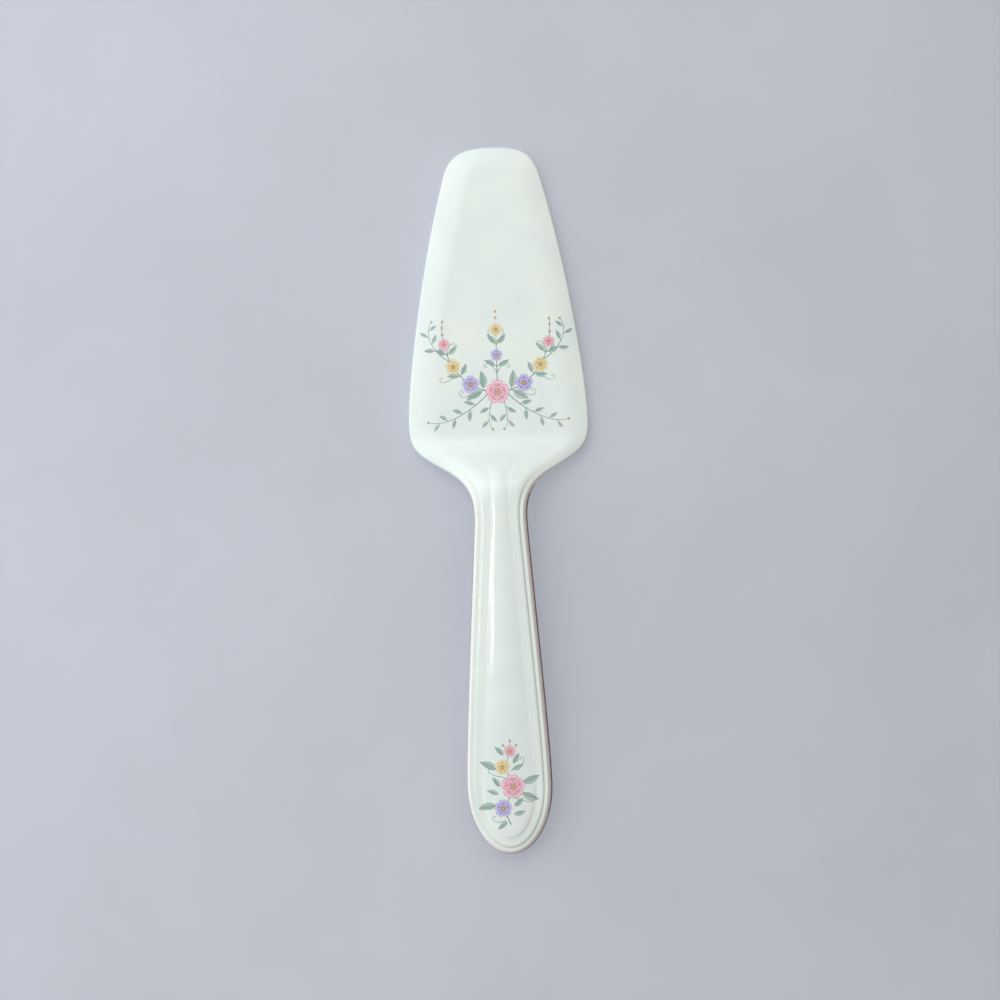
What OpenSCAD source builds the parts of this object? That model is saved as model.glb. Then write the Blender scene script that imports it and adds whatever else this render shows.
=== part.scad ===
// Ceramic cake server: one fired clay body under a clear glaze, with flowers in coloured enamel.
// It lies on its back on a table. +Z points up out of the serving face, +Y runs to the blade's
// tip, and the origin is on the table under the middle of the length. Sizes are in millimetres.

/* [Outline] */
// Length from the end of the handle to the tip of the blade
overall_length = 255; // [235:1:280]
// Greatest width of the blade
blade_width = 65.3; // [58:0.1:72]
// Distance from the end of the handle to the blade's greatest width
heel_station = 155.9; // [150:0.1:165]
// Width of the blade where its tip begins to round off
tip_width = 36; // [30:0.1:42]
// Distance from the tip back to where it begins to round off
tip_depth = 11.8; // [10:0.1:15]
// Least width of the neck
neck_width = 19; // [15:0.1:23]
// Distance from the end of the handle to the neck's least width
neck_station = 121.2; // [112:0.1:128]
// Greatest width of the handle
handle_width = 30.7; // [27:0.1:36]
// Length of the handle's rounded end
handle_end_length = 25; // [22:0.1:34]
// Angle between the shoulder's slope and the server's long axis
shoulder_angle = 60; // [50:1:66]

/* [Heights] */
// Thickness of the blade where it lies flat
blade_thickness = 5; // [4:0.1:7]
// How much thinner the blade is at its tip
tip_thinning = 1.2; // [0.4:0.1:2]
// Length over which the blade thins out to its tip
tip_thinning_length = 55; // [30:1:60]
// Height of the handle's face above the table at its end
end_height = 8.4; // [7:0.1:11]
// Height of the handle's face above the table at the neck
neck_height = 12.8; // [11:0.1:18]
// Height of the arch under the neck
arch_height = 4.6; // [2:0.1:6]
// Length of the handle's end that rests on the table
foot_length = 18; // [12:1:30]

/* [Handle border] */
// Width of the rounded outer edge
edge_roll_width = 1.9; // [1.4:0.1:2.2]
// How far the top of the rounded edge lies below the panel
edge_roll_drop = 0.3; // [0.2:0.05:0.6]
// Distance from the edge to the thin groove
groove_inset = 2.4; // [2.3:0.05:3]
// How far the bottom of the groove lies below the panel
groove_drop = 0.45; // [0.4:0.05:0.8]
// Distance from the edge to the crest of the raised bead
bead_inset = 3.8; // [3.4:0.1:4.4]
// How far the crest of the bead stands above the panel
bead_rise = 0.05; // [0:0.01:0.2]
// Distance from the edge to the shallow gutter inside the bead
gutter_inset = 5.5; // [5:0.1:5.9]
// How far the bottom of the gutter lies below the panel
gutter_drop = 0.1; // [0.06:0.02:0.3]
// Distance from the edge to the panel
panel_inset = 6.5; // [6:0.1:7]
// How far the middle of the panel swells up at the neck
panel_crown = 0.3; // [0.2:0.05:0.8]
// Length at the end of the handle over which the panel stays flat
flat_panel_length = 52; // [48:1:70]
// Length over which the panel's swell grows to its full height
crown_growth_length = 40; // [20:1:50]
// Height of the bare seam above the underside of the handle
handle_seam_height = 3; // [2:0.1:4]

/* [Blade edge] */
// Width of the blade's rounded edge
blade_roll_width = 1.2; // [0.8:0.1:1.6]
// Width of the margin that turns down to the blade's edge
margin_width = 10.4; // [8:0.1:11]
// How far the margin turns down
margin_drop = 0.9; // [0.4:0.1:1.4]
// Height of the bare seam above the underside of the blade
blade_seam_height = 1.5; // [1.2:0.1:2]

/* [Underside] */
// Width of the rounded edge on the underside of the handle
back_roll_width = 3; // [2:0.1:4]
// How far the underside rises to that rounded edge
back_roll_rise = 0.6; // [0.2:0.1:1]
// Distance from the edge to the flat of the underside
back_flat_inset = 6; // [5:0.1:7]

/* [Glaze] */
// Thickness of the glaze
glaze_thickness = 0.4; // [0.25:0.05:0.6]
// Width of the bare line of clay between the front and back glazes
seam_width = 0.6; // [0.3:0.1:0.9]

/* [Enamel flowers] */
// Thickness of the enamel
enamel_thickness = 0.06; // [0.03:0.01:0.12]
// Width of the garland on the blade
garland_width = 39; // [34:0.5:41]
// Height of the garland from its lowest to its highest place
garland_height = 23; // [16:0.5:28]
// Distance from the blade's greatest width to the lowest place of the garland
garland_offset = 10.5; // [9:0.5:16]
// Length of the sprig on the handle
sprig_length = 27; // [22:0.5:29]
// Distance from the end of the handle to the foot of the sprig
sprig_offset = 12.5; // [11:0.5:15]
// Radius of the largest blossom
blossom_radius = 4.4; // [3.4:0.1:4.8]
// Length of the largest leaf
leaf_length = 6.4; // [5:0.1:7]
// Width of the largest leaf
leaf_width = 2.6; // [2:0.1:3.4]
// Radius of the largest berry
berry_radius = 0.6; // [0.4:0.05:0.8]

/* [Hidden] */

// Colours of the fired clay, the glaze and the enamels
clay_colour = "#8a6a5c";
glaze_colour = "#e6eee6";
green_colour = "#8fafa3";
pink_colour = "#dd9bb2";
lilac_colour = "#a79bcd";
yellow_colour = "#d8b667";

// How many steps each stretch of the half outline is drawn with, from the handle's end to the tip
stretch_steps = [9, 8, 6, 7, 8, 8];
// Length of each stretch's two curve handles, as shares of the size that the stretch spans
ellipse_share = 0.5523;
handle_side_shares = [0.18, 0.06];
neck_fillet_shares = [0.54, 0.45];
shoulder_shares = [0.72, 0.52];
blade_side_shares = [0.16, 0.37];
tip_shares = [0.74, 0.7];
// Place of the turning point between shoulder and neck, across and along
turning_shares = [0.45, 0.5];
// Slope of the blade's side where the tip begins, across for each unit along
tip_flare_share = 0.28;
// Places of the middle line that the ribs of the surface run to
spine_end_shares = [0.75, 1.1];
spine_shoulder_shares = [0.62, 1.04];
spine_tip_shares = [1.9, 1.55];
// Where the slope from the blade up to the handle begins and ends, between neck and heel
crank_shares = [0.16, 0.93];
// Where the handle's border fades out, between neck and heel
fade_shares = [0.1, 0.62];
// Turns of the rounded edges, in degrees
roll_turns = [0, 35, 65, 90];
// Place and height of the bead's flanks, between its foot and its crest
flank_shares = [0.45, 0.68];
// Places of the rings in the blade's margin
margin_shares = [0.12, 0.28, 0.46, 0.64, 0.82, 1];
// Place of the ring between the panel's edge and its middle line
panel_middle_share = 0.5;

// Half widths and runs of the outline
half_blade = blade_width / 2;
half_tip = tip_width / 2;
half_neck = neck_width / 2;
half_handle = handle_width / 2;
tip_station = overall_length - tip_depth;
shoulder_run = heel_station - neck_station;
turning_point = [
    half_neck + (half_blade - half_neck) * turning_shares[0],
    neck_station + shoulder_run * turning_shares[1],
];
shoulder_way = [sin(shoulder_angle), cos(shoulder_angle)];
tip_way = [-tip_flare_share, 1] / norm([tip_flare_share, 1]);
crank_start = neck_station + shoulder_run * crank_shares[0];
crank_length = shoulder_run * (crank_shares[1] - crank_shares[0]);
fade_start = neck_station + shoulder_run * fade_shares[0];
fade_length = shoulder_run * (fade_shares[1] - fade_shares[0]);

// Plain curve helpers
function blend(a, b, share) = a + (b - a) * share;
function clamp(share) = max(0, min(1, share));
function ease(share) = let (s = clamp(share)) s * s * (3 - 2 * s);
function curve(p, t) =
    let (s = 1 - t)
    p[0] * s * s * s + 3 * p[1] * s * s * t + 3 * p[2] * s * t * t + p[3] * t * t * t;
function curve_way(p, t) =
    let (s = 1 - t, way = (p[1] - p[0]) * s * s + 2 * (p[2] - p[1]) * s * t + (p[3] - p[2]) * t * t)
    way / norm(way);

// A stretch of the half outline: a curve from one place to another that leaves and arrives in given
// ways. Each place is [half width, distance from the handle's end].
function stretch(from, from_way, from_pull, to, to_way, to_pull) =
    [from, from + from_way * from_pull, to - to_way * to_pull, to];
handle_widest = [half_handle, handle_end_length];
neck_narrowest = [half_neck, neck_station];
heel_widest = [half_blade, heel_station];
tip_corner = [half_tip, tip_station];
across = [1, 0];
along = [0, 1];
handle_side_run = neck_station - handle_end_length;
turning_run = turning_point[1] - neck_station;
heel_run = heel_station - turning_point[1];
blade_side_run = tip_station - heel_station;
stretches = [
    stretch([0, 0], across, half_handle * ellipse_share,
            handle_widest, along, handle_end_length * ellipse_share),
    stretch(handle_widest, along, handle_side_run * handle_side_shares[0],
            neck_narrowest, along, handle_side_run * handle_side_shares[1]),
    stretch(neck_narrowest, along, turning_run * neck_fillet_shares[0],
            turning_point, shoulder_way, turning_run * neck_fillet_shares[1]),
    stretch(turning_point, shoulder_way, heel_run * shoulder_shares[0],
            heel_widest, along, heel_run * shoulder_shares[1]),
    stretch(heel_widest, along, blade_side_run * blade_side_shares[0],
            tip_corner, tip_way, blade_side_run * blade_side_shares[1]),
    stretch(tip_corner, tip_way, tip_depth * tip_shares[0],
            [0, overall_length], -across, half_tip * tip_shares[1]),
];
// Where the rib from each end of a stretch meets the middle line
spine_stations = [
    handle_end_length * spine_end_shares[0],
    handle_end_length * spine_end_shares[1],
    neck_station,
    neck_station + shoulder_run * spine_shoulder_shares[0],
    neck_station + shoulder_run * spine_shoulder_shares[1],
    overall_length - tip_depth * spine_tip_shares[0],
    overall_length - tip_depth * spine_tip_shares[1],
];

// Height of the middle line, above and below, at a distance from the handle's end
function crank(station) = ease((station - crank_start) / crank_length);
function handle_line(station) = blend(end_height, neck_height, station / neck_station);
function blade_line(station) =
    let (share = (station - overall_length) / tip_thinning_length + 1)
    blade_thickness - tip_thinning * pow(clamp(share), 2);
function top_line(station) = blend(handle_line(station), blade_line(station), crank(station));
function arch_line(station) =
    arch_height * ease((station - foot_length) / (neck_station - foot_length));
function bottom_line(station) = blend(arch_line(station), 0, crank(station));
function crown_height(station) =
    panel_crown * ease((station - flat_panel_length) / crown_growth_length) * (1 - crank(station));

// A rib of the surface runs from the outline to the middle line: [place on the outline, way in, length
// of that way for each unit of inset, place on the middle line, share of the blade's section]
function rib(index, t) =
    let (place = curve(stretches[index], t),
         way = curve_way(stretches[index], t),
         spine = [0, blend(spine_stations[index], spine_stations[index + 1], t)],
         inward = (spine - place) / norm(spine - place))
    [place, inward, 1 / (inward * [-way[1], way[0]]), spine, ease((place[1] - fade_start) / fade_length)];
last_stretch = len(stretches) - 1;
ribs = [
    for (index = [0 : last_stretch], step = [0 : stretch_steps[index] - 1])
        rib(index, step / stretch_steps[index]),
    rib(last_stretch, 1),
];
last_rib = len(ribs) - 1;

// Sections across the edge, from the seam inwards. Each place is [inset, height over the middle line],
// above the panel's edge for the face and above the underside for the back. The first place of each
// rounded edge is at the seam, whose height is given.
function roll(width, seam, top) =
    [for (turn = roll_turns) [width * (1 - cos(turn)), blend(seam, top, sin(turn))]];
function handle_section(seam) = concat(
    roll(edge_roll_width, seam, -edge_roll_drop),
    [
        [groove_inset, -groove_drop],
        [blend(groove_inset, bead_inset, flank_shares[0]), blend(-groove_drop, bead_rise, flank_shares[1])],
        [bead_inset, bead_rise],
        [blend(gutter_inset, bead_inset, flank_shares[0]), blend(-gutter_drop, bead_rise, flank_shares[1])],
        [gutter_inset, -gutter_drop],
        [panel_inset, 0],
    ]);
function blade_section(seam) = concat(
    roll(blade_roll_width, seam, -margin_drop),
    [
        for (share = margin_shares)
            [blend(blade_roll_width, margin_width, share), -margin_drop * pow(1 - share, 2)]
    ]);
function face_section(seam, blade_share) =
    blend(handle_section(seam), blade_section(seam), blade_share);
function back_section(seam, blade_share) = blend(
    concat(roll(back_roll_width, seam, back_roll_rise), [[back_flat_inset, 0]]),
    concat(roll(blade_roll_width, seam, 0), [[margin_width, 0]]),
    blade_share);

// The same section moved into the material by the thickness of a coat. side is 1 on the face and -1 on
// the back.
function coated(section, coat, side) = [
    for (k = [0 : len(section) - 1])
        let (way = section[min(k + 1, len(section) - 1)] - section[max(k - 1, 0)],
             inward = k == 0 ? across
                    : k == len(section) - 1 ? [0, -side]
                    : side * [way[1], -way[0]] / norm(way))
        section[k] + coat * inward
];

// Places of one rib on the face or the back, from the seam to the middle line, as [x, y, z]
function at(plan, height) = [plan[0], plan[1] - overall_length / 2, height];
function seam_height(blade_share) = blend(handle_seam_height, blade_seam_height, blade_share);
function face_rib(rib, coat) =
    let (station = rib[0][1],
         seam = bottom_line(station) + seam_height(rib[4]) + seam_width / 2 - top_line(station),
         section = coated(face_section(seam, rib[4]), coat, 1),
         edge = rib[0] + rib[1] * rib[2] * section[len(section) - 1][0],
         middle = blend(edge, rib[3], panel_middle_share))
    concat(
        [
            for (place = section)
                let (plan = rib[0] + rib[1] * rib[2] * place[0])
                at(plan, top_line(plan[1]) + place[1])
        ],
        [
            at(middle, top_line(middle[1]) - coat
                + crown_height(middle[1]) * (1 - pow(1 - panel_middle_share, 2))),
            at(rib[3], top_line(rib[3][1]) - coat + crown_height(rib[3][1])),
        ]);
function back_rib(rib, coat) =
    let (seam = seam_height(rib[4]) - seam_width / 2,
         section = coated(back_section(seam, rib[4]), coat, -1))
    concat(
        [
            for (place = section)
                let (plan = rib[0] + rib[1] * rib[2] * place[0])
                at(plan, bottom_line(plan[1]) + place[1])
        ],
        [at(rib[3], bottom_line(rib[3][1]) + coat)]);

// A skin is a list of such ribs. Its points are closed rings round the outline, seam first, and then the
// middle line.
function ring(skin, k) = concat(
    [for (j = [0 : last_rib]) skin[j][k]],
    [for (j = [last_rib - 1 : -1 : 1]) [-skin[j][k][0], skin[j][k][1], skin[j][k][2]]]);
function ring_count(skin) = len(skin[0]) - 1;
function skin_points(skin) = concat(
    [for (k = [0 : ring_count(skin) - 1]) each ring(skin, k)],
    [for (j = [0 : last_rib]) skin[j][ring_count(skin)]]);
ring_size = 2 * last_rib;
// Number of the middle line's point that a place on the ring faces
function spine_index(j) = j <= last_rib ? j : ring_size - j;
function quad(a, b, c, d) = [[a, b, c], [a, c, d]];
// Faces of a skin, clockwise as seen from above
function skin_faces(skin, first) =
    let (rings = ring_count(skin), spine = first + rings * ring_size)
    [
        for (j = [0 : ring_size - 1])
            let (next = (j + 1) % ring_size)
            each concat(
                [
                    for (k = [0 : rings - 2])
                        let (low = first + k * ring_size, high = low + ring_size)
                        each quad(low + j, high + j, high + next, low + next)
                ],
                let (high = first + (rings - 1) * ring_size)
                spine_faces(j, high + j, high + next, spine + spine_index(j), spine + spine_index(next)))
    ];
// The two faces beside the middle line, split so that none of them lies along that line
function spine_faces(j, a, b, spine_a, spine_b) =
    j % last_rib == 0 ? quad(b, a, spine_a, spine_b) : quad(a, spine_a, spine_b, b);
function flipped(faces) = [for (face = faces) [face[2], face[1], face[0]]];

// The solid between an upper and a lower skin, closed along the seam
module between_skins(upper, lower) {
    upper_points = skin_points(upper);
    lower_first = len(upper_points);
    seam_faces = [
        for (j = [0 : ring_size - 1])
            let (next = (j + 1) % ring_size)
            each quad(j, next, lower_first + next, lower_first + j)
    ];
    polyhedron(
        points = concat(upper_points, skin_points(lower)),
        faces = concat(
            skin_faces(upper, 0),
            flipped(skin_faces(lower, lower_first)),
            seam_faces));
}

face_skin = [for (rib = ribs) face_rib(rib, 0)];
clay_face_skin = [for (rib = ribs) face_rib(rib, glaze_thickness)];
clay_back_skin = [for (rib = ribs) back_rib(rib, glaze_thickness)];
back_skin = [for (rib = ribs) back_rib(rib, 0)];

module clay_body() {
    color(clay_colour)
        between_skins(clay_face_skin, clay_back_skin);
}

module front_glaze() {
    color(glaze_colour)
        between_skins(face_skin, clay_face_skin);
}

module back_glaze() {
    color(glaze_colour)
        between_skins(clay_back_skin, back_skin);
}

// Enamel flowers: each blossom, leaf and berry is a thin layer of fired colour on the glaze
leaf_steps = 7;
petal_steps = 7;
petal_count = 5;
// How far out the widest place of a leaf and of a petal lies: above 1 it moves to the outer end
leaf_fullness_share = 0.8;
petal_fullness_share = 1.7;
// Radius of a blossom's eye, inner end of its petals and width of a petal, as shares of its radius
eye_share = 0.24;
petal_start_share = 0.3;
petal_width_share = 0.74;
// Sizes of the blossoms, leaves and berries, as shares of the largest
lilac_size_share = 0.74;
yellow_size_share = 0.64;
bud_size_share = 0.5;
small_leaf_share = 0.68;
small_berry_share = 0.7;
// Places along one half of the garland, from its lowest place up to its end
garland_lilac_share = 0.33;
garland_yellow_share = 0.6;
garland_bud_share = 0.85;
garland_leaf_shares = [0.165, 0.47, 0.735];
garland_berry_shares = [0.95, 1.02, 1.08];
// Places on the middle sprig of the blade, along in garland heights, with the turn of its leaves
posy_yellow_share = 0.98;
posy_lilac_share = 0.58;
posy_leaf_shares = [[0.4, 62], [0.74, 42]];
// Angles between the stem and its leaves, inside and outside the garland's bend
leaf_spreads = [66, -46];
// Gap from the stem to a leaf, in leaf widths, and from a blossom to a leaf behind it, in blossom radii
leaf_gap_share = 0.28;
blossom_gap_share = 0.05;
// Places on the sprig, across in blossom radii and along as shares of its length, with the turn of a leaf
sprig_lilac_shares = [-0.5, 0.16];
sprig_pink_shares = [0.36, 0.45];
sprig_yellow_shares = [-0.46, 0.71];
sprig_bud_shares = [0.2, 0.92];
sprig_leaf_shares = [
    [0.36, 0.08, -75], [0.42, 0.19, -48], [-0.86, 0.35, 72], [-0.74, 0.45, 38],
    [0.36, 0.68, -66], [0.42, 0.76, -30], [-0.36, 0.87, 46], [-0.2, -0.02, 130],
];
sprig_berry_shares = [[-0.36, 1.0], [0.72, 1.0], [0.2, 1.06]];

garland_bottom = heel_station + garland_offset;
function garland_place(t) = [
    garland_width / 2 * sin(90 * t),
    garland_bottom + garland_height * (1 - cos(90 * t)),
];
function garland_heading(t) = atan2(garland_height * sin(90 * t), garland_width / 2 * cos(90 * t));
function posy_place(share) = [0, garland_bottom + garland_height * share];
function sprig_place(shares) =
    [shares[0] * blossom_radius, sprig_offset + sprig_length * shares[1]];

module leaf_shape(size_share = 1) {
    shares = [for (step = [0 : leaf_steps]) step / leaf_steps];
    edge = [
        for (share = shares)
            [leaf_width * size_share / 2 * sin(180 * pow(share, leaf_fullness_share)),
             leaf_length * size_share * share]
    ];
    back_edge = [for (step = [leaf_steps - 1 : -1 : 1]) [-edge[step][0], edge[step][1]]];
    polygon(concat(edge, back_edge));
}

module petal_shape(radius) {
    reach = radius * (1 - petal_start_share);
    edge = [
        for (step = [0 : petal_steps])
            [radius * petal_width_share / 2 * sin(180 * pow(step / petal_steps, petal_fullness_share)),
             radius * petal_start_share + reach * step / petal_steps]
    ];
    back_edge = [for (step = [petal_steps - 1 : -1 : 1]) [-edge[step][0], edge[step][1]]];
    polygon(concat(edge, back_edge));
}

module blossom_shape(size_share = 1) {
    for (petal = [0 : petal_count - 1])
        rotate(petal * 360 / petal_count)
            petal_shape(blossom_radius * size_share);
}

module eye_shape(size_share = 1) {
    circle(r = blossom_radius * size_share * eye_share, $fn = 32);
}

module berry_shape(size_share = 1) {
    circle(r = berry_radius * size_share, $fn = 32);
}

module both_sides() {
    children();
    mirror([1, 0, 0])
        children();
}

// A thin layer on the flat of the blade, drawn in [across, distance from the handle's end]
module on_blade() {
    translate([0, -overall_length / 2, blade_thickness])
        linear_extrude(height = enamel_thickness)
            children();
}

// A thin layer on the flat panel at the end of the handle, which rises a little towards the neck
module on_handle() {
    translate([0, -overall_length / 2, end_height])
        rotate([atan((neck_height - end_height) / neck_station), 0, 0])
            linear_extrude(height = enamel_thickness)
                children();
}

module along_garland(t) {
    translate(garland_place(t))
        children();
}

// A pair of leaves that spread from the garland's stem
module leaf_pair(t, size_share) {
    for (spread = leaf_spreads)
        along_garland(t)
            rotate(garland_heading(t) - 90 + spread)
                translate([0, leaf_width * leaf_gap_share])
                    leaf_shape(size_share);
}

// The round space that a blossom takes up, which the leaves behind it leave free
module blossom_space(size_share = 1) {
    circle(r = blossom_radius * (size_share + blossom_gap_share), $fn = 48);
}

module garland_leaves() {
    both_sides() {
        for (k = [0 : len(garland_leaf_shares) - 1])
            leaf_pair(garland_leaf_shares[k], k == 0 ? 1 : small_leaf_share);
        for (leaf = posy_leaf_shares)
            translate(posy_place(leaf[0]))
                rotate(-leaf[1])
                    translate([0, leaf_width * leaf_gap_share])
                        leaf_shape(small_leaf_share);
    }
}

module garland_blossom_spaces() {
    along_garland(0)
        blossom_space();
    for (share = [posy_lilac_share, posy_yellow_share])
        translate(posy_place(share))
            blossom_space(bud_size_share);
    both_sides() {
        along_garland(garland_lilac_share)
            blossom_space(lilac_size_share);
        along_garland(garland_yellow_share)
            blossom_space(yellow_size_share);
        along_garland(garland_bud_share)
            blossom_space(bud_size_share);
    }
}

module sprig_leaves() {
    for (leaf = sprig_leaf_shares)
        translate(sprig_place(leaf))
            rotate(leaf[2])
                leaf_shape(small_leaf_share);
}

module sprig_blossom_spaces() {
    translate(sprig_place(sprig_pink_shares))
        blossom_space();
    translate(sprig_place(sprig_lilac_shares))
        blossom_space(lilac_size_share);
    translate(sprig_place(sprig_yellow_shares))
        blossom_space(yellow_size_share);
    translate(sprig_place(sprig_bud_shares))
        blossom_space(bud_size_share);
}

module blade_green_enamel() {
    color(green_colour)
        on_blade() {
            difference() {
                garland_leaves();
                garland_blossom_spaces();
            }
            both_sides()
                for (t = garland_berry_shares)
                    along_garland(t)
                        berry_shape(small_berry_share);
        }
}

module blade_pink_enamel() {
    color(pink_colour)
        on_blade() {
            along_garland(0)
                blossom_shape();
            both_sides()
                along_garland(garland_bud_share)
                    blossom_shape(bud_size_share);
        }
}

module blade_lilac_enamel() {
    color(lilac_colour)
        on_blade() {
            both_sides()
                along_garland(garland_lilac_share)
                    blossom_shape(lilac_size_share);
            translate(posy_place(posy_lilac_share))
                blossom_shape(bud_size_share);
        }
}

module blade_yellow_enamel() {
    color(yellow_colour)
        on_blade() {
            along_garland(0)
                eye_shape();
            translate(posy_place(posy_lilac_share))
                eye_shape(bud_size_share);
            translate(posy_place(posy_yellow_share))
                blossom_shape(bud_size_share);
            both_sides() {
                along_garland(garland_lilac_share)
                    eye_shape(lilac_size_share);
                along_garland(garland_yellow_share)
                    blossom_shape(yellow_size_share);
                along_garland(garland_bud_share)
                    eye_shape(bud_size_share);
            }
        }
}

module handle_green_enamel() {
    color(green_colour)
        on_handle() {
            difference() {
                sprig_leaves();
                sprig_blossom_spaces();
            }
            for (berry = sprig_berry_shares)
                translate(sprig_place(berry))
                    berry_shape(small_berry_share);
        }
}

module handle_pink_enamel() {
    color(pink_colour)
        on_handle() {
            translate(sprig_place(sprig_pink_shares))
                blossom_shape();
            translate(sprig_place(sprig_bud_shares))
                blossom_shape(bud_size_share);
        }
}

module handle_lilac_enamel() {
    color(lilac_colour)
        on_handle()
            translate(sprig_place(sprig_lilac_shares))
                blossom_shape(lilac_size_share);
}

module handle_yellow_enamel() {
    color(yellow_colour)
        on_handle() {
            translate(sprig_place(sprig_pink_shares))
                eye_shape();
            translate(sprig_place(sprig_lilac_shares))
                eye_shape(lilac_size_share);
            translate(sprig_place(sprig_yellow_shares))
                blossom_shape(yellow_size_share);
            translate(sprig_place(sprig_bud_shares))
                eye_shape(bud_size_share);
        }
}

clay_body();
front_glaze();
back_glaze();
blade_green_enamel();
blade_pink_enamel();
blade_lilac_enamel();
blade_yellow_enamel();
handle_green_enamel();
handle_pink_enamel();
handle_lilac_enamel();
handle_yellow_enamel();
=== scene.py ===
"""Builds a glazed ceramic cake server with enamel flowers, lying on a table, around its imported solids."""

import math

import bpy
import numpy as np
from bpy.props import FloatProperty, FloatVectorProperty, IntProperty, PointerProperty
from mathutils import Matrix, Vector


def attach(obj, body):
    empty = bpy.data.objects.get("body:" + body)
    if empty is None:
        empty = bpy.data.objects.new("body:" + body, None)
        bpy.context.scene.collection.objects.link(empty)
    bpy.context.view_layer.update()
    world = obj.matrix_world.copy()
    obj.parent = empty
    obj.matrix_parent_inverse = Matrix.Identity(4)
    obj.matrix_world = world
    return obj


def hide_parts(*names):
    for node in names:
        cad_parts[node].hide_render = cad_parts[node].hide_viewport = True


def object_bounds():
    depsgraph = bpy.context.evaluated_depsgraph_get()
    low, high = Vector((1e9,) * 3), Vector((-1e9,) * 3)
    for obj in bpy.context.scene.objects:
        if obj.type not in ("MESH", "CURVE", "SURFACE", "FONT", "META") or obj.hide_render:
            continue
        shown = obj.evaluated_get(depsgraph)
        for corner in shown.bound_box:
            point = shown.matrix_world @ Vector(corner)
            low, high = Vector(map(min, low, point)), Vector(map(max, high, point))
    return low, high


bl_info = {
    "name": "Ceramic Cake Server",
    "version": (1, 0, 0),
    "blender": (4, 5, 0),
    "location": "3D View > Sidebar > Cake Server",
    "description": "Builds a glazed cake server with enamel flowers around its packed solids",
    "category": "Object",
}

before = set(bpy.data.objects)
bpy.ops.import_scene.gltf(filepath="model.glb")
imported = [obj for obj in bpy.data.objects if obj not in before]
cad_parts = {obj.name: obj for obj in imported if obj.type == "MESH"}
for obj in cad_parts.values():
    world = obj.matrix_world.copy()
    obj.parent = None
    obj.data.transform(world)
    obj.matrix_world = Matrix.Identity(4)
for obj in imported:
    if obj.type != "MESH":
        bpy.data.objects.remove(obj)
CAD_LOW, CAD_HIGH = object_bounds()
BODY = "root"
MM = 0.001

# How many steps each stretch of the half outline is drawn with, from the handle's end to the tip
STRETCH_STEPS = (44, 40, 34, 38, 46, 44)
# Length of each stretch's two curve handles, as shares of the size that the stretch spans
ELLIPSE_SHARE = 0.5523
HANDLE_SIDE_SHARES = (0.18, 0.06)
NECK_FILLET_SHARES = (0.54, 0.45)
SHOULDER_SHARES = (0.72, 0.52)
BLADE_SIDE_SHARES = (0.16, 0.37)
TIP_SHARES = (0.74, 0.7)
# Place of the turning point between shoulder and neck, across and along
TURNING_SHARES = (0.45, 0.5)
# Slope of the blade's side where the tip begins, across for each unit along
TIP_FLARE_SHARE = 0.28
# Places of the middle line that the ribs of the surface run to
SPINE_END_SHARES = (0.75, 1.1)
SPINE_SHOULDER_SHARES = (0.62, 1.04)
SPINE_TIP_SHARES = (1.9, 1.55)
# Where the slope to the blade and the fading of the border begin and end, from 0 at the neck to 1 at the heel
CRANK_SHARES = (0.1, 1.0)
FADE_SHARES = (0.1, 0.62)
# Where the deeper gutter of the handle's end fades out, in lengths of that end
END_GUTTER_SHARES = (0.5, 1.5)
# How steeply that gutter rises to the bead, as a share of how steeply it rises to the panel
GUTTER_RISE_SHARE = 0.32
# Where the face turns down to its edge: in lengths of the handle's end, and from the neck to the heel
END_FALL_SHARES = (0.2, 0.9)
SHOULDER_FALL_SHARES = (0.04, 0.4, 0.5, 0.92)
# Where the fuller swell of the handle's panel runs out, in shares of the way to the neck
BELLY_SHARES = (0.5, 0.95)
# Where the handle's bare brown edge begins to fade, in millimetres from the outline, and over what width
BARE_EDGE_START = 0.08
FACE_BARE_RUN = 0.5
BACK_BARE_RUN = 0.16
# Where the thin glaze over the rounded edge runs out, in millimetres from the outline
THIN_RIM_LIMITS = (0.8, 1.7)
# Pools of glaze with painted shade, in millimetres: how far beyond the groove the painted shade lies, on the
# bead's outer flank, how wide it is there and how wide the pool in the gutter is
GROOVE_POOL_SHADE_OFFSET = 0.3
GROOVE_POOL_SHADE_WIDTH = 0.4
GUTTER_POOL_WIDTH = 0.8
# How strong the pool in the gutter is beside the pooled glaze and painted shade at the groove
GUTTER_POOL_SHARE = 0.05
# Place and height of the bead's flanks, between its foot and its crest
FLANK_SHARES = (0.42, 0.74)
# Places of the rings in the blade's margin that answer to the knots of the handle's border
MARGIN_SHARES = (0.0, 0.12, 0.28, 0.46, 0.64, 0.82, 1.0)
# How many steps the rounded edge, each part of the border, the panel and the underside are drawn with
ROLL_STEPS = 14
BORDER_STEPS = (6, 6, 6, 6, 6, 6)
PANEL_STEPS = 10
BACK_STEPS = 5
# Slope of the handle's underside where it leaves the rounded edge
BACK_ROLL_SLOPE = -0.24
# Least angle of an edge that is shaded as sharp, on the coats and on the enamels
SKIN_SHARP_DEGREES = 40.0
FILM_SHARP_DEGREES = 50.0

# Places of the flowers along one half of the garland, from its lowest place up to its end
GARLAND_LILAC_SHARE = 0.33
GARLAND_YELLOW_SHARE = 0.6
GARLAND_BUD_SHARE = 0.85
GARLAND_LEAF_SHARES = (0.165, 0.47, 0.735)
GARLAND_BERRY_SHARES = (0.95, 1.02, 1.08)
GARLAND_STEM_END = 1.1
GARLAND_STEM_POINTS = 60
# Tendrils of the garland: place, first turn, length in millimetres, bend, and curl of the end in degrees
GARLAND_TENDRILS = (
    (0.26, -150.0, 11.0, 66.0, 330.0),
    (0.5, -112.0, 10.0, -48.0, 330.0),
    (0.72, -6.0, 9.0, 66.0, 330.0),
)
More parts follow.
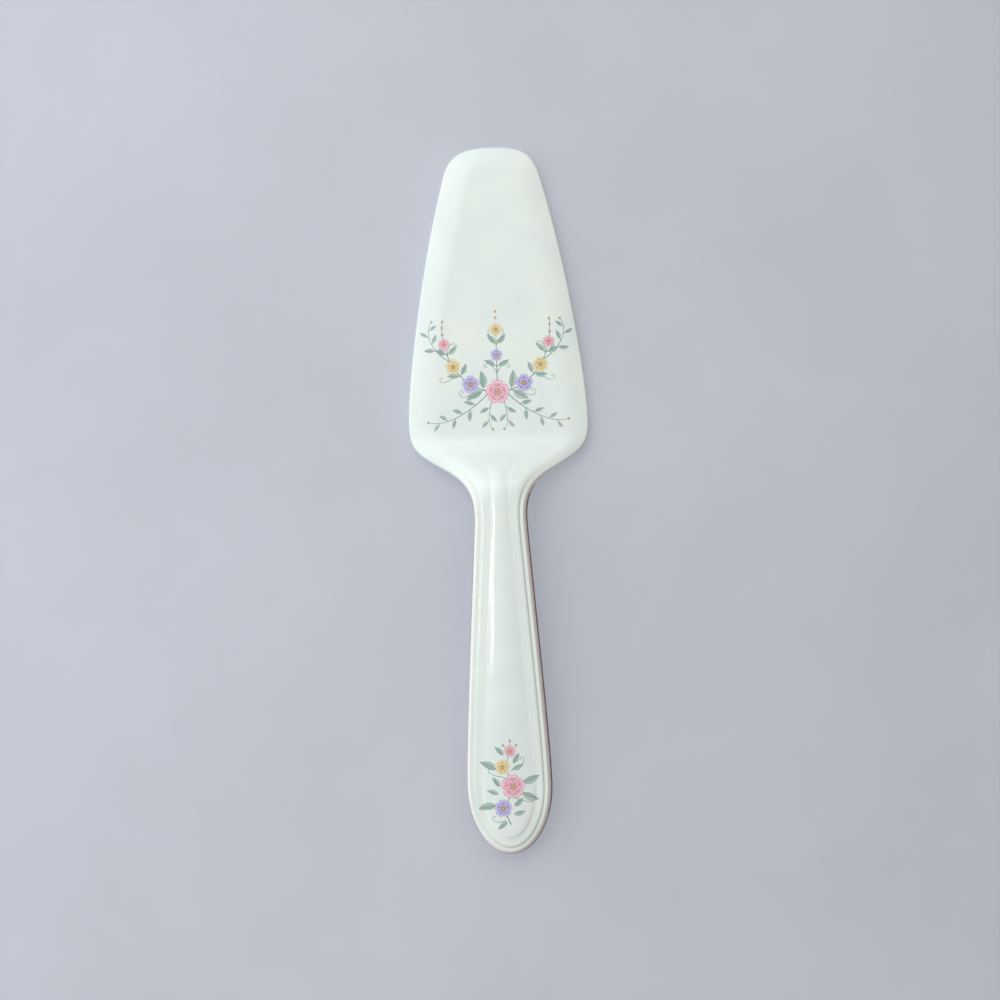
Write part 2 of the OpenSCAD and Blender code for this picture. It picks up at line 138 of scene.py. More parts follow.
# Leafy sprays of the garland: the same five, the width of the foot, and the steps with a leaf and its angle
SPRAYS = (
    (
        (0.09, -136.0, 26.0, 30.0, 30.0),
        0.85,
        ((16, 52.0), (22, -52.0), (29, 50.0), (36, -50.0), (43, 48.0), (50, -48.0)),
    ),
    ((0.05, -168.0, 14.0, 4.0, -60.0), 0.7, ((24, 50.0), (34, -50.0), (44, 46.0))),
    (
        (0.66, -62.0, 18.0, 62.0, 40.0),
        0.75,
        ((14, 52.0), (22, -52.0), (31, 50.0), (40, -50.0), (48, 48.0)),
    ),
)
# Over how many steps the leaves of a spray would shrink to nothing
SPRAY_LEAF_FADE = 150.0
# Places on the middle posy of the blade, in garland heights, with the turn of its leaves
POSY_STEM_SHARE = 0.1
POSY_LILAC_SHARE = 0.58
POSY_YELLOW_SHARE = 0.98
POSY_LEAVES = ((0.4, 62.0), (0.74, 42.0))
POSY_BERRY_SHARES = (1.16, 1.26)
POSY_TENDRILS = ((0.3, -28.0, 8.5, -30.0, -330.0), (0.78, -40.0, 7.5, -24.0, 330.0))
# Angles between the stem and its leaves, inside and outside the garland's bend
LEAF_SPREADS = (66.0, -46.0)
# Length of a leaf's stalk, in leaf widths
LEAF_GAP_SHARE = 0.28
# Places on the sprig of the handle, across in blossom radii and along as shares of its length
SPRIG_LILAC = (-0.5, 0.16)
SPRIG_PINK = (0.36, 0.45)
SPRIG_YELLOW = (-0.46, 0.71)
SPRIG_BUD = (0.2, 0.92)
SPRIG_LEAVES = (
    (0.36, 0.08, -75.0),
    (0.42, 0.19, -48.0),
    (-0.86, 0.35, 72.0),
    (-0.74, 0.45, 38.0),
    (0.36, 0.68, -66.0),
    (0.42, 0.76, -30.0),
    (-0.36, 0.87, 46.0),
    (-0.2, -0.02, 130.0),
)
SPRIG_LARGE_LEAVES = (
    (1.1, 0.36, -112.0),
    (1.2, 0.5, -66.0),
    (-1.12, 0.2, 100.0),
    (-1.0, 0.68, 64.0),
)
SPRIG_TENDRILS = (
    (0.3, 0.3, -100.0, 11.0, -40.0, 330.0),
    (-0.1, 0.56, 74.0, 11.0, 20.0, -330.0),
    (0.2, 0.66, -60.0, 9.5, -20.0, 330.0),
    (-0.3, 0.0, 110.0, 8.0, -40.0, -330.0),
)
SPRIG_BERRIES = ((-0.36, 1.0), (0.72, 1.0), (0.2, 1.06))
SPRIG_STEM = (
    (0.1, -0.06),
    (-0.22, 0.08),
    (-0.1, 0.24),
    (0.2, 0.42),
    (0.02, 0.6),
    (-0.12, 0.74),
    (0.12, 0.9),
)
# Widths of the stems at the foot and at the end, as shares of the thickest
GARLAND_WIDTHS = (1.0, 0.45)
POSY_WIDTHS = (0.85, 0.5)
SPRIG_WIDTHS = (1.0, 0.5)
STALK_WIDTHS = (0.6, 0.5)
TENDRIL_WIDTHS = (0.6, 0.35)
BERRY_STALK_WIDTHS = (0.5, 0.35)
# Width of a spray's end, as a share of its foot's
SPRAY_TAPER = 0.45
# Steps along a tendril, and points across a stem
TENDRIL_STEPS = 60
RIBBON_POINTS = 5
# Sizes of the blossoms, leaves and berries, as shares of the largest
LILAC_SIZE = 0.74
YELLOW_SIZE = 0.64
BUD_SIZE = 0.5
SMALL_LEAF_SIZE = 0.68
SMALL_BERRY_SIZE = 0.7
# Shape of a leaf: under 1 its widest place moves to the foot, and its midrib bends sideways
LEAF_FULLNESS = 0.8
LEAF_BEND = 0.2
LEAF_STEPS = (18, 13)
# Shape of a petal in blossom radii: inner end, rounding of its outer end and its power, notch and lean
PETAL_START = 0.14
PETAL_ROUNDING = 0.3
PETAL_SQUARENESS = 3.5
PETAL_NOTCH = 0.07
PETAL_NOTCH_WIDTH = 0.2
PETAL_LEAN = 0.0014
PETAL_STEPS = (11, 17)
# Half the angles of all the petals of a blossom added up, in degrees
PETAL_SPREAD = 185.0
# Inner petals of a blossom: their share of the outer ones, and how far they lie above them
INNER_PETAL_SHARE = 0.6
INNER_PETAL_RISE = 0.003
# The eye of a blossom and the ring of dots round it, in blossom radii
EYE_SHARE = 0.24
EYE_DOTS = 10
EYE_DOT_RING = 0.37
EYE_DOT_RADIUS = 0.04
# Sides and rings that berries and eyes, and those dots, are drawn with
DISC_STEPS = (28, 4)
DOT_STEPS = (10, 1)
# How far each kind of enamel lies above the glaze, in millimetres
STEM_LIFT = 0.012
LEAF_LIFT = 0.02
BERRY_LIFT = 0.03
BLOSSOM_LIFT = 0.036
EYE_LIFT = 0.05
# Height from which the enamels are dropped onto the glaze, in metres
RAY_HEIGHT = 0.1

# Looks: the usual limits of a noise, the glaze, the enamels and the table
NOISE_LIMITS = (0.3, 0.7)
GLAZE_IOR = 1.52
ENAMEL_ROUGHNESS = (0.16, 0.28)
ENAMEL_RELIEF = 0.000006
TABLE_CLOUD_SHARE = 0.94
# How far the table reaches, in metres, and how far it lies below the server, in millimetres
TABLE_REACH = 8.0
TABLE_GAP = 0.02
# Light from all round: its colours behind on the left and in front on the right, and how far they blend
SKY_BRIGHT = (0.97, 1.0, 1.02)
SKY_DIM = (0.46, 0.415, 0.35)
SKY_SPAN = 0.9
# Lights: name, power, size, place, colour, whether it casts a shadow and whether the glaze mirrors it
LIGHTS = (
    ("key", "key", (0.62, 0.85), (-0.41, 0.52, 0.9), (0.98, 1.0, 1.02), False, True),
    ("back", "back", (0.7, 0.32), (-0.07, 0.6, 1.0), (1.0, 0.97, 0.88), True, True),
    ("side", "side", (0.9, 1.4), (-1.0, 0.2, 0.72), (0.945, 1.0, 1.06), False, False),
    ("strip_high", "strip", (0.045, 0.2), (-0.292, -0.06, 0.98), (1.0, 1.0, 1.0), False, True),
    ("strip_low", "strip", (0.045, 0.2), (-0.42, -0.06, 0.94), (1.0, 1.0, 1.0), False, True),
    ("fill", "fill", (0.3, 0.3), (0.62, -0.42, 0.8), (1.0, 0.95, 0.86), True, True),
)
# Nearest distance that the camera sees, in metres
CAMERA_CLIP = 0.01


def screen_colour(red, green, blue):
    """The linear colour of a shade that is given as a screen shows it, from 0 to 255."""
    shades = (red / 255.0, green / 255.0, blue / 255.0)
    return tuple(s / 12.92 if s <= 0.04045 else ((s + 0.055) / 1.055) ** 2.4 for s in shades)


def length(name, description, millimetres):
    """A size, given in millimetres and kept in metres."""
    return FloatProperty(
        name=name,
        description=description,
        default=millimetres * MM,
        min=0.0,
        precision=5,
        unit="LENGTH",
        subtype="DISTANCE",
    )


def angle(name, description, degrees):
    """An angle, given in degrees."""
    return FloatProperty(
        name=name,
        description=description,
        default=math.radians(degrees),
        unit="ROTATION",
        subtype="ANGLE",
    )


def strength(name, description, value):
    """How bright a light is."""
    return FloatProperty(name=name, description=description, default=value, min=0.0, precision=3)


def tint(name, description, red, green, blue):
    """A colour, given as a screen shows it."""
    return FloatVectorProperty(
        name=name,
        description=description,
        default=screen_colour(red, green, blue),
        size=3,
        min=0.0,
        max=1.0,
        subtype="COLOR",
    )


class ServerSizes(bpy.types.PropertyGroup):
    """Sizes of the fired clay and its glaze."""

    overall_length: length(
        "Overall length", "From the end of the handle to the tip", (CAD_HIGH.y - CAD_LOW.y) / MM
    )
    blade_width: length("Blade width", "Greatest width of the blade", (CAD_HIGH.x - CAD_LOW.x) / MM)
    heel_station: length("Heel", "From the end of the handle to the blade's greatest width", 155.9)
    tip_width: length("Tip width", "Width of the blade where its tip begins to round off", 36.0)
    tip_depth: length("Tip depth", "From the tip back to where it begins to round off", 11.8)
    neck_width: length("Neck width", "Least width of the neck", 19.0)
    neck_station: length("Neck", "From the end of the handle to the neck's least width", 121.2)
    handle_width: length("Handle width", "Greatest width of the handle", 30.7)
    handle_end_length: length("Handle end", "Length of the handle's rounded end", 25.0)
    shoulder_angle: angle("Shoulder angle", "Between the shoulder's slope and the long axis", 60.0)
    blade_thickness: length("Blade thickness", "Thickness of the blade where it lies flat", 5.0)
    tip_thinning: length("Tip thinning", "How much thinner the blade is at its tip", 1.2)
    tip_thinning_length: length("Thinning length", "Length over which the blade thins out", 55.0)
    end_height: length("End height", "Height of the handle's face at its end", 8.4)
    neck_height: length("Neck height", "Height of the handle's face at the neck", 12.8)
    arch_height: length("Arch height", "Height of the arch under the neck", 4.6)
    foot_length: length("Foot length", "Length of the handle's end that rests on the table", 18.0)
    edge_roll_width: length("Edge width", "Width of the handle's rounded outer edge", 1.4)
    edge_roll_drop: length("Edge drop", "How far that edge's top lies below the panel", 0.44)
    groove_inset: length("Groove inset", "From the edge to the thin groove", 2.4)
    groove_drop: length("Groove drop", "How far the groove lies below the panel", 0.45)
    bead_inset: length("Bead inset", "From the edge to the crest of the raised bead", 3.8)
    bead_drop: length("Bead drop", "How far the bead's crest lies below the panel", 0.1)
    gutter_inset: length("Gutter inset", "From the edge to the shallow gutter inside the bead", 5.5)
    gutter_drop: length("Gutter drop", "How far the gutter lies below the panel", 0.045)
    end_gutter_drop: length("End gutter", "How much deeper the gutter is at the handle's end", 0.2)
    end_fall: length("End fall", "How far the face turns down to the edge of the handle's end", 1.3)
    end_fall_width: length("End fall width", "Width over which it turns down at the end", 10.0)
    shoulder_fall: length("Shoulder fall", "How far the shoulders turn down to their edge", 1.4)
    shoulder_fall_width: length("Shoulder fall width", "Width over which they turn down", 6.0)
    panel_inset: length("Panel inset", "From the edge to the panel", 6.5)
    panel_crown: length("Panel crown", "How far the panel swells up at the neck", 0.25)
    panel_belly: length("Panel belly", "How much more it swells up in the middle of the handle", 0.26)
    flat_panel_length: length("Flat panel", "Length at the handle's end with a flat panel", 1.0)
    crown_growth_length: length("Crown growth", "Length over which the swell grows", 32.0)
    handle_seam_height: length("Handle seam", "Height of the bare seam above the underside", 3.0)
    blade_roll_width: length("Blade edge width", "Width of the blade's rounded edge", 0.75)
    margin_width: length("Margin width", "Width of the margin that turns down to the edge", 10.4)
    margin_drop: length("Margin drop", "How far the margin turns down", 0.9)
    blade_seam_height: length("Blade seam", "Height of the bare seam above the underside", 1.5)
    back_roll_width: length("Back edge width", "Width of the underside's rounded edge", 3.0)
    back_roll_rise: length("Back edge rise", "How far the underside rises to that edge", 0.6)
    back_flat_inset: length("Back flat inset", "From the edge to the flat of the underside", 6.0)
    glaze_thickness: length("Glaze thickness", "Thickness of the glaze", 0.4)
    seam_width: length("Seam width", "Width of the bare line of clay between the glazes", 0.6)


class FlowerSizes(bpy.types.PropertyGroup):
    """Sizes and places of the enamel flowers."""

    garland_width: length("Garland width", "Width of the garland on the blade", 39.0)
    garland_height: length("Garland height", "From the garland's lowest to its highest place", 23.0)
    garland_offset: length("Garland offset", "From the heel to the garland's lowest place", 10.5)
    sprig_length: length("Sprig length", "Length of the sprig on the handle", 27.0)
    sprig_offset: length("Sprig offset", "From the handle's end to the foot of the sprig", 12.5)
    blossom_radius: length("Blossom radius", "Radius of the largest blossom", 4.4)
    leaf_length: length("Leaf length", "Length of the largest leaf", 6.4)
    leaf_width: length("Leaf width", "Width of the largest leaf", 2.6)
    berry_radius: length("Berry radius", "Radius of the largest berry", 0.6)
    stem_width: length("Stem width", "Width of the thickest stem", 0.42)
    film_thickness: length("Enamel thickness", "Thickness of the fired enamel", 0.05)
    petal_count: IntProperty(
        name="Petals", description="Petals of each blossom", default=5, min=3, max=9
    )
    tone_seed: IntProperty(name="Tone seed", description="Seed of the enamel's varied tones", default=4)


class Finishes(bpy.types.PropertyGroup):
    """Colours of the clay, the glaze and the enamels."""

    glaze: tint("Glaze", "Cream glaze where it lies evenly", 233, 240, 233)
    glaze_cool: tint("Cool glaze", "Glaze where it runs thicker", 225, 234, 231)
    # Pooled glaze, also used as painted shade on the outer flank of the border's bead
    glaze_pool: tint("Pooled glaze", "Glaze in the grooves of the border", 214, 222, 212)
    glaze_rim: tint("Thin glaze", "Glaze over the rounded edge of the handle", 239, 231, 226)
    glaze_edge: tint("Bare edge", "Edge of the handle where the clay shows through", 134, 103, 93)
    clay: tint("Clay", "Fired clay", 138, 102, 90)
    clay_dark: tint("Dark clay", "Darker grains of the fired clay", 104, 72, 62)
    pink: tint("Pink", "Body of the pink blossoms", 224, 152, 176)
    pink_deep: tint("Deep pink", "Heart of the pink blossoms", 186, 84, 124)
    pink_pale: tint("Pale pink", "Outer ends of the pink petals", 245, 214, 222)
    lilac: tint("Lilac", "Body of the lilac blossoms", 164, 152, 204)
    lilac_deep: tint("Deep lilac", "Heart of the lilac blossoms", 104, 90, 168)
    lilac_pale: tint("Pale lilac", "Outer ends of the lilac petals", 216, 210, 238)
    yellow: tint("Yellow", "Body of the yellow blossoms", 217, 188, 112)
    yellow_deep: tint("Deep yellow", "Heart of the yellow blossoms", 176, 134, 60)
    yellow_pale: tint("Pale yellow", "Outer ends of the yellow petals", 244, 234, 200)
    leaf: tint("Leaf", "Body of the leaves", 170, 196, 187)
    leaf_deep: tint("Deep leaf", "Shaded half and veins of the leaves", 128, 158, 149)
    leaf_pale: tint("Pale leaf", "Lightest leaves", 196, 210, 200)
    outline: tint("Outline", "Thin drawn line round leaves and stems", 104, 114, 108)
    berry: tint("Berry", "Berries and the eyes of the blossoms", 208, 178, 112)
    berry_deep: tint("Deep berry", "Shaded side of the berries and eyes", 140, 104, 62)
    table: tint("Table", "Plain pale table", 196, 199, 209)


class Studio(bpy.types.PropertyGroup):
    """The camera and the lights."""

    camera_distance: length("Camera distance", "From the camera to the middle of the server", 1100.0)
    camera_yaw: angle("Camera yaw", "How far the camera stands to the right", 4.0)
    camera_pitch: angle("Camera pitch", "How far the camera stands towards the handle", 0.5)
    camera_roll: angle("Camera roll", "How far the camera is turned in its own view", -1.75)
    camera_lens: FloatProperty(
        name="Camera lens",
        description="Focal length of the camera, on a 36 mm sensor",
        default=110.05,
        min=10.0,
        unit="CAMERA",
    )
    aim: FloatVectorProperty(
        name="Aim",
        description="Place that the middle of the view looks at",
        default=(-0.00025, -0.00006, 0.006),
        size=3,
        unit="LENGTH",
        subtype="TRANSLATION",
    )
    sky: strength("Sky", "Brightness of the light from all round", 0.675)
    key: strength("Key", "Power of the large soft light on the left, in watts", 1.85)
    back: strength("Back", "Power of the soft light behind the tip, in watts", 0.55)
    side: strength("Side", "Power of the low soft light on the left, in watts", 9.8)
    strip: strength("Strip", "Power of each narrow light on the left, in watts", 0.25)
    fill: strength("Fill", "Power of the soft light on the right, in watts", 0.25)


# Plain curve helpers
def blend(start, end, share_of_end):
    """A value between two others."""
    return start + (end - start) * share_of_end


def ease(value):
    """A smooth step from 0 to 1."""
    value = np.clip(value, 0.0, 1.0)
    return value * value * (3.0 - 2.0 * value)


def soft_ease(value):
    """A step from 0 to 1 that bends smoothly at both ends as well."""
    value = np.clip(value, 0.0, 1.0)
    return value**3 * (10.0 - 15.0 * value + 6.0 * value * value)


def ramp(value, limits, step=ease):
    """A smooth step of a value between two limits."""
    low, high = limits
    return step((value - low) / (high - low))


def steps_up(count):
    """Even steps up to 1, without the 0."""
    return np.arange(1, count + 1) / count


def bezier(points, t):
    """Places on a cubic curve."""
    s = 1.0 - t
    weights = (s * s * s, 3.0 * s * s * t, 3.0 * s * t * t, t * t * t)
    return sum(weight[:, None] * point for weight, point in zip(weights, points))


def bezier_way(points, t):
    """Unit directions along a cubic curve."""
    s = 1.0 - t
    weights = (s * s, 2.0 * s * t, t * t)
    legs = np.diff(points, axis=0)
    way = sum(weight[:, None] * leg for weight, leg in zip(weights, legs))
    return way / np.linalg.norm(way, axis=1)[:, None]


def knot_slopes(places, heights):
    """Slopes of a smooth line through knots that neither dips nor swells between them."""
    rises = np.diff(heights) / np.diff(places)
    slopes = np.zeros(len(places))
    for index in range(1, len(places) - 1):
        before, after = rises[index - 1], rises[index]
        if before * after > 0.0:
            slopes[index] = 2.0 * before * after / (before + after)
    return slopes


class ServerSurface:
    """The surface of the server, worked out from its sizes. A station is a distance from the handle's end."""

    def __init__(self, size):
        self.size = size
        self.shoulder_run = size.heel_station - size.neck_station
        self.tip_station = size.overall_length - size.tip_depth
        self.place, self.inward, self.stretch, self.spine = self.ribs()
        self.blade_share = ramp(self.shoulder_share(self.place[:, 1]), FADE_SHARES)
        self.end_share = self.place[:, 1] / size.handle_end_length

    def stretches(self):
        """The six curves of the half outline, each place being half width and station."""
        size = self.size
        across = np.array((1.0, 0.0))
        along = np.array((0.0, 1.0))
        shoulder_way = np.array((math.sin(size.shoulder_angle), math.cos(size.shoulder_angle)))
        tip_way = np.array((-TIP_FLARE_SHARE, 1.0)) / math.hypot(TIP_FLARE_SHARE, 1.0)
        half_neck = size.neck_width / 2.0
        half_blade = size.blade_width / 2.0
        handle_end = np.array((0.0, 0.0))
        handle_widest = np.array((size.handle_width / 2.0, size.handle_end_length))
        neck = np.array((half_neck, size.neck_station))
        turning_point = np.array(
            (
                blend(half_neck, half_blade, TURNING_SHARES[0]),
                blend(size.neck_station, size.heel_station, TURNING_SHARES[1]),
            )
        )
        heel = np.array((half_blade, size.heel_station))
        tip_corner = np.array((size.tip_width / 2.0, self.tip_station))
        tip = np.array((0.0, size.overall_length))
        side_run = size.neck_station - size.handle_end_length
        turning_run = turning_point[1] - size.neck_station
        heel_run = size.heel_station - turning_point[1]
        blade_run = self.tip_station - size.heel_station
        knots = (handle_end, handle_widest, neck, turning_point, heel, tip_corner, tip)
        ways = (across, along, along, shoulder_way, along, tip_way, -across)
        pulls = (
            handle_widest * ELLIPSE_SHARE,
            side_run * np.array(HANDLE_SIDE_SHARES),
            turning_run * np.array(NECK_FILLET_SHARES),
            heel_run * np.array(SHOULDER_SHARES),
            blade_run * np.array(BLADE_SIDE_SHARES),
            np.array((size.tip_depth, tip_corner[0])) * TIP_SHARES,
        )
        curves = []
        for index, (start_pull, end_pull) in enumerate(pulls):
            start, end = knots[index : index + 2]
            leaving = start + ways[index] * start_pull
            arriving = end - ways[index + 1] * end_pull
            curves.append(np.array((start, leaving, arriving, end)))
        return curves

    def ribs(self):
        """Lines from the outline to the middle line: place, way in, length for each inset, end."""
        size = self.size
        spine_stations = (
            size.handle_end_length * SPINE_END_SHARES[0],
            size.handle_end_length * SPINE_END_SHARES[1],
            size.neck_station,
            size.neck_station + self.shoulder_run * SPINE_SHOULDER_SHARES[0],
            size.neck_station + self.shoulder_run * SPINE_SHOULDER_SHARES[1],
            size.overall_length - size.tip_depth * SPINE_TIP_SHARES[0],
            size.overall_length - size.tip_depth * SPINE_TIP_SHARES[1],
        )
        places, ways, spines = [], [], []
        curves = self.stretches()
        for index, (curve, steps) in enumerate(zip(curves, STRETCH_STEPS)):
            t = np.arange(steps) / steps
            if index == len(curves) - 1:
                t = np.append(t, 1.0)
            places.append(bezier(curve, t))
            ways.append(bezier_way(curve, t))
            station = blend(spine_stations[index], spine_stations[index + 1], t)
            spines.append(np.stack((np.zeros_like(t), station), axis=1))
        place, way, spine = (np.concatenate(rows) for rows in (places, ways, spines))
        inward = spine - place
        inward /= np.linalg.norm(inward, axis=1)[:, None]
        square = np.stack((-way[:, 1], way[:, 0]), axis=1)
        return place, inward, 1.0 / np.sum(inward * square, axis=1), spine

    def shoulder_share(self, station):
        """Share of the way along from the neck to the heel."""
        return (station - self.size.neck_station) / self.shoulder_run

    def crank(self, station):
        """Share of the way down from the handle to the blade."""
        return ramp(self.shoulder_share(station), CRANK_SHARES, soft_ease)

    def top_line(self, station):
        """Height of the face along the middle, without the panel's swell."""
        size = self.size
        handle_line = blend(size.end_height, size.neck_height, station / size.neck_station)
        thin = np.clip((station - size.overall_length) / size.tip_thinning_length + 1.0, 0.0, 1.0)
        blade_line = size.blade_thickness - size.tip_thinning * thin**2
        return blend(handle_line, blade_line, self.crank(station))

    def bottom_line(self, station):
        """Height of the underside along the middle."""
        size = self.size
        arch = ramp(station, (size.foot_length, size.neck_station))
        return blend(size.arch_height * arch, 0.0, self.crank(station))

    def crown(self, station):
        """How far the middle of the panel swells up."""
        size = self.size
        growth = ease((station - size.flat_panel_length) / size.crown_growth_length)
        run_out = ramp(station / size.neck_station, BELLY_SHARES)
        swell = size.panel_crown + size.panel_belly * (1.0 - run_out)
        return swell * growth * (1.0 - self.crank(station))

    def seam(self, side):
        """Height of the front coat's edge, for side 1, or of the back coat's, for side -1."""
        size = self.size
        height = blend(size.handle_seam_height, size.blade_seam_height, self.blade_share)
        return self.bottom_line(self.place[:, 1]) + height + side * size.seam_width / 2.0

    def roll(self, widths, seam, tops, slopes, coat, side):
        """Insets and heights of the rounded edge, moved into the material by the thickness of a coat."""
        t = np.linspace(0.0, 1.0, ROLL_STEPS + 1)
        s = 1.0 - t
        insets, heights = [], []
        for width, top, slope in zip(widths, tops, slopes):
            top = (np.zeros_like(seam) + top)[:, None]
            slope = (np.zeros_like(seam) + slope)[:, None]
            inset = 3.0 * s * t * t * width * (1.0 - ELLIPSE_SHARE) + t**3 * width
            pull = ELLIPSE_SHARE * (top - seam[:, None])
            start = (s**3 + 3.0 * s * s * t) * seam[:, None] + 3.0 * s * s * t * pull
            end = 3.0 * s * t * t * (top - ELLIPSE_SHARE * width * slope) + t**3 * top
            insets.append(np.broadcast_to(inset, (len(seam), len(t))))
            heights.append(start + end)
        inset = self.towards_blade(*insets)
        height = self.towards_blade(*heights)
        turn = t * math.pi / 2.0
        return inset + coat * np.cos(turn), height - side * coat * np.sin(turn)

    def towards_blade(self, handle, blade):
        """The handle's values on the handle, blending into the blade's."""
        return blend(handle, blade, self.blade_share[:, None])

    def at(self, plan, height):
        """Places in the shared frame from half width, station and height."""
        return np.stack((plan[..., 0], plan[..., 1] - self.size.overall_length / 2.0, height), axis=-1)

    def plan(self, inset):
        """Half widths and stations of places that lie inset from the outline, along the ribs."""
        return self.place[:, None] + (self.inward * self.stretch[:, None])[:, None] * inset[..., None]

    def face_insets(self):
        """Insets and heights of the border and the margin, from the rounded edge to the panel."""
        size = self.size
        edge = np.array((size.edge_roll_width, -size.edge_roll_drop))
        groove = np.array((size.groove_inset, -size.groove_drop))
        bead = np.array((size.bead_inset, -size.bead_drop))
        gutter = np.array((size.gutter_inset, -size.gutter_drop))
        panel = np.array((size.panel_inset, 0.0))
        outer_flank, inner_flank = (blend(foot, bead, np.array(FLANK_SHARES)) for foot in (groove, gutter))
        places, heights = np.stack((edge, groove, outer_flank, bead, inner_flank, gutter, panel)).T
        slopes = knot_slopes(places, heights)
        rim_places = blend(size.blade_roll_width, size.margin_width, np.array(MARGIN_SHARES))
        handle, blade, swell = [], [], []
        for index, steps in enumerate(BORDER_STEPS):
            t = steps_up(steps)
            run = places[index + 1] - places[index]
            rise = heights[index + 1] - heights[index]
            bow = run * t * (1.0 - t) * (slopes[index] * (1.0 - t) - slopes[index + 1] * t)
            line = heights[index] + rise * ease(t)
            handle.append(np.stack((places[index] + run * t, line + bow), axis=1))
            margin = blend(MARGIN_SHARES[index], MARGIN_SHARES[index + 1], t)
            rim_run = rim_places[index + 1] - rim_places[index]
            drop = -size.margin_drop * (1.0 - margin) ** 2
            blade.append(np.stack((rim_places[index] + rim_run * t, drop), axis=1))
            last = 1.0 if index == len(BORDER_STEPS) - 1 else 0.0
            end_bow = -last * t * t * (1.0 - t)
            swell.append(np.stack((end_bow * run, end_bow * rim_run), axis=1))
        return np.concatenate(handle), np.concatenate(blade), np.concatenate(swell)

    def fall(self, inset):
        """Height and slope with which the face turns down to its edge, at some insets."""
        size = self.size
        at_end = 1.0 - ramp(self.end_share, END_FALL_SHARES)
        shoulder_share = self.shoulder_share(self.place[:, 1])
        at_shoulder = ramp(shoulder_share, SHOULDER_FALL_SHARES[:2])
        at_shoulder *= 1.0 - ramp(shoulder_share, SHOULDER_FALL_SHARES[2:])
        height, slope = 0.0, 0.0
        for drop, zone, width in (
            (size.end_fall, at_end, size.end_fall_width),
            (size.shoulder_fall, at_shoulder, size.shoulder_fall_width),
        ):
            left = np.clip(1.0 - inset / width, 0.0, 1.0)
            height = height - drop * zone[:, None] * left**2
            slope = slope + 2.0 * drop * zone[:, None] * left / width
        return height, slope

    def skin(self, line, insets, heights, middle, middle_heights, middle_insets):
        """Places and insets of a whole skin above a line, from its border and from its middle part."""
        plan = self.plan(insets)
        border = self.at(plan, line(plan[..., 1]) + heights)
        inside = self.at(middle, line(middle[..., 1]) + middle_heights)
        return np.concatenate((border, inside), axis=1), np.concatenate((insets, middle_insets), axis=1)

    def face_skin(self, coat):
        """Places on the face, rib by rib from the seam to the middle line, with their insets."""
        size = self.size
        margin_slope = 2.0 * size.margin_drop / (size.margin_width - size.blade_roll_width)
        widths = (size.edge_roll_width, size.blade_roll_width)
        fall_heights, fall_slopes = self.fall(np.array(widths))
        edge_inset, edge_height = self.roll(
            widths,
            self.seam(1) - self.top_line(self.place[:, 1]),
            (fall_heights[:, 0] - size.edge_roll_drop, fall_heights[:, 1] - size.margin_drop),
            (fall_slopes[:, 0], fall_slopes[:, 1] + margin_slope),
            coat,
            1,
        )
        handle, blade, swell = self.face_insets()
        inset = self.towards_blade(handle[:, 0], blade[:, 0])
        panel_edge = self.plan(inset[:, -1:])
        panel_run = np.linalg.norm(self.spine - panel_edge[:, 0], axis=1)
        panel_slope = 2.0 * self.crown(panel_edge[:, 0, 1]) * self.stretch / panel_run
        lift = self.towards_blade(swell[:, 0], swell[:, 1]) * panel_slope[:, None]
        height = self.towards_blade(handle[:, 1], blade[:, 1]) + lift - coat
        height += self.fall(inset)[0]
        near_end = 1.0 - ramp(self.end_share, END_GUTTER_SHARES)
        reach = (handle[:, 0] - size.gutter_inset) / (size.panel_inset - size.gutter_inset)
        reach = np.maximum(reach, reach * GUTTER_RISE_SHARE)
        height -= size.end_gutter_drop * near_end[:, None] * np.clip(1.0 - reach**2, 0.0, 1.0) ** 2
        f = steps_up(PANEL_STEPS)
        middle = blend(panel_edge, self.spine[:, None], f[:, None])
        swell_height = self.crown(middle[..., 1]) * (1.0 - (1.0 - f) ** 2)
        swell_height += self.fall(inset[:, -1:] + f * (panel_run / self.stretch)[:, None])[0]
        return self.skin(
            self.top_line,
            np.concatenate((edge_inset, inset), axis=1),
            np.concatenate((edge_height, height), axis=1),
            middle,
            swell_height - coat,
            inset[:, -1:] + f * size.panel_inset,
        )

    def back_skin(self, coat):
        """Places on the underside, rib by rib from the seam to the middle line, with their insets."""
        size = self.size
        edge_inset, edge_height = self.roll(
            (size.back_roll_width, size.blade_roll_width),
            self.seam(-1) - self.bottom_line(self.place[:, 1]),
            (size.back_roll_rise, 0.0),
            (BACK_ROLL_SLOPE, 0.0),
            coat,
            -1,
        )
        t = steps_up(BACK_STEPS)
        run = size.back_flat_inset - size.back_roll_width
        handle_inset = size.back_roll_width + run * t
        bow = run * t * (1.0 - t) ** 2 * BACK_ROLL_SLOPE
        handle_height = size.back_roll_rise * (1.0 - ease(t)) + bow
        blade_inset = blend(size.blade_roll_width, size.margin_width, t)
        inset = self.towards_blade(handle_inset, blade_inset)
        height = self.towards_blade(handle_height, np.zeros_like(t)) + coat
        return self.skin(
            self.bottom_line,
            np.concatenate((edge_inset, inset), axis=1),
            np.concatenate((edge_height, height), axis=1),
            blend(self.plan(inset[:, -1:]), self.spine[:, None], t[:, None]),
            coat,
            inset[:, -1:] + t * size.back_flat_inset,
        )

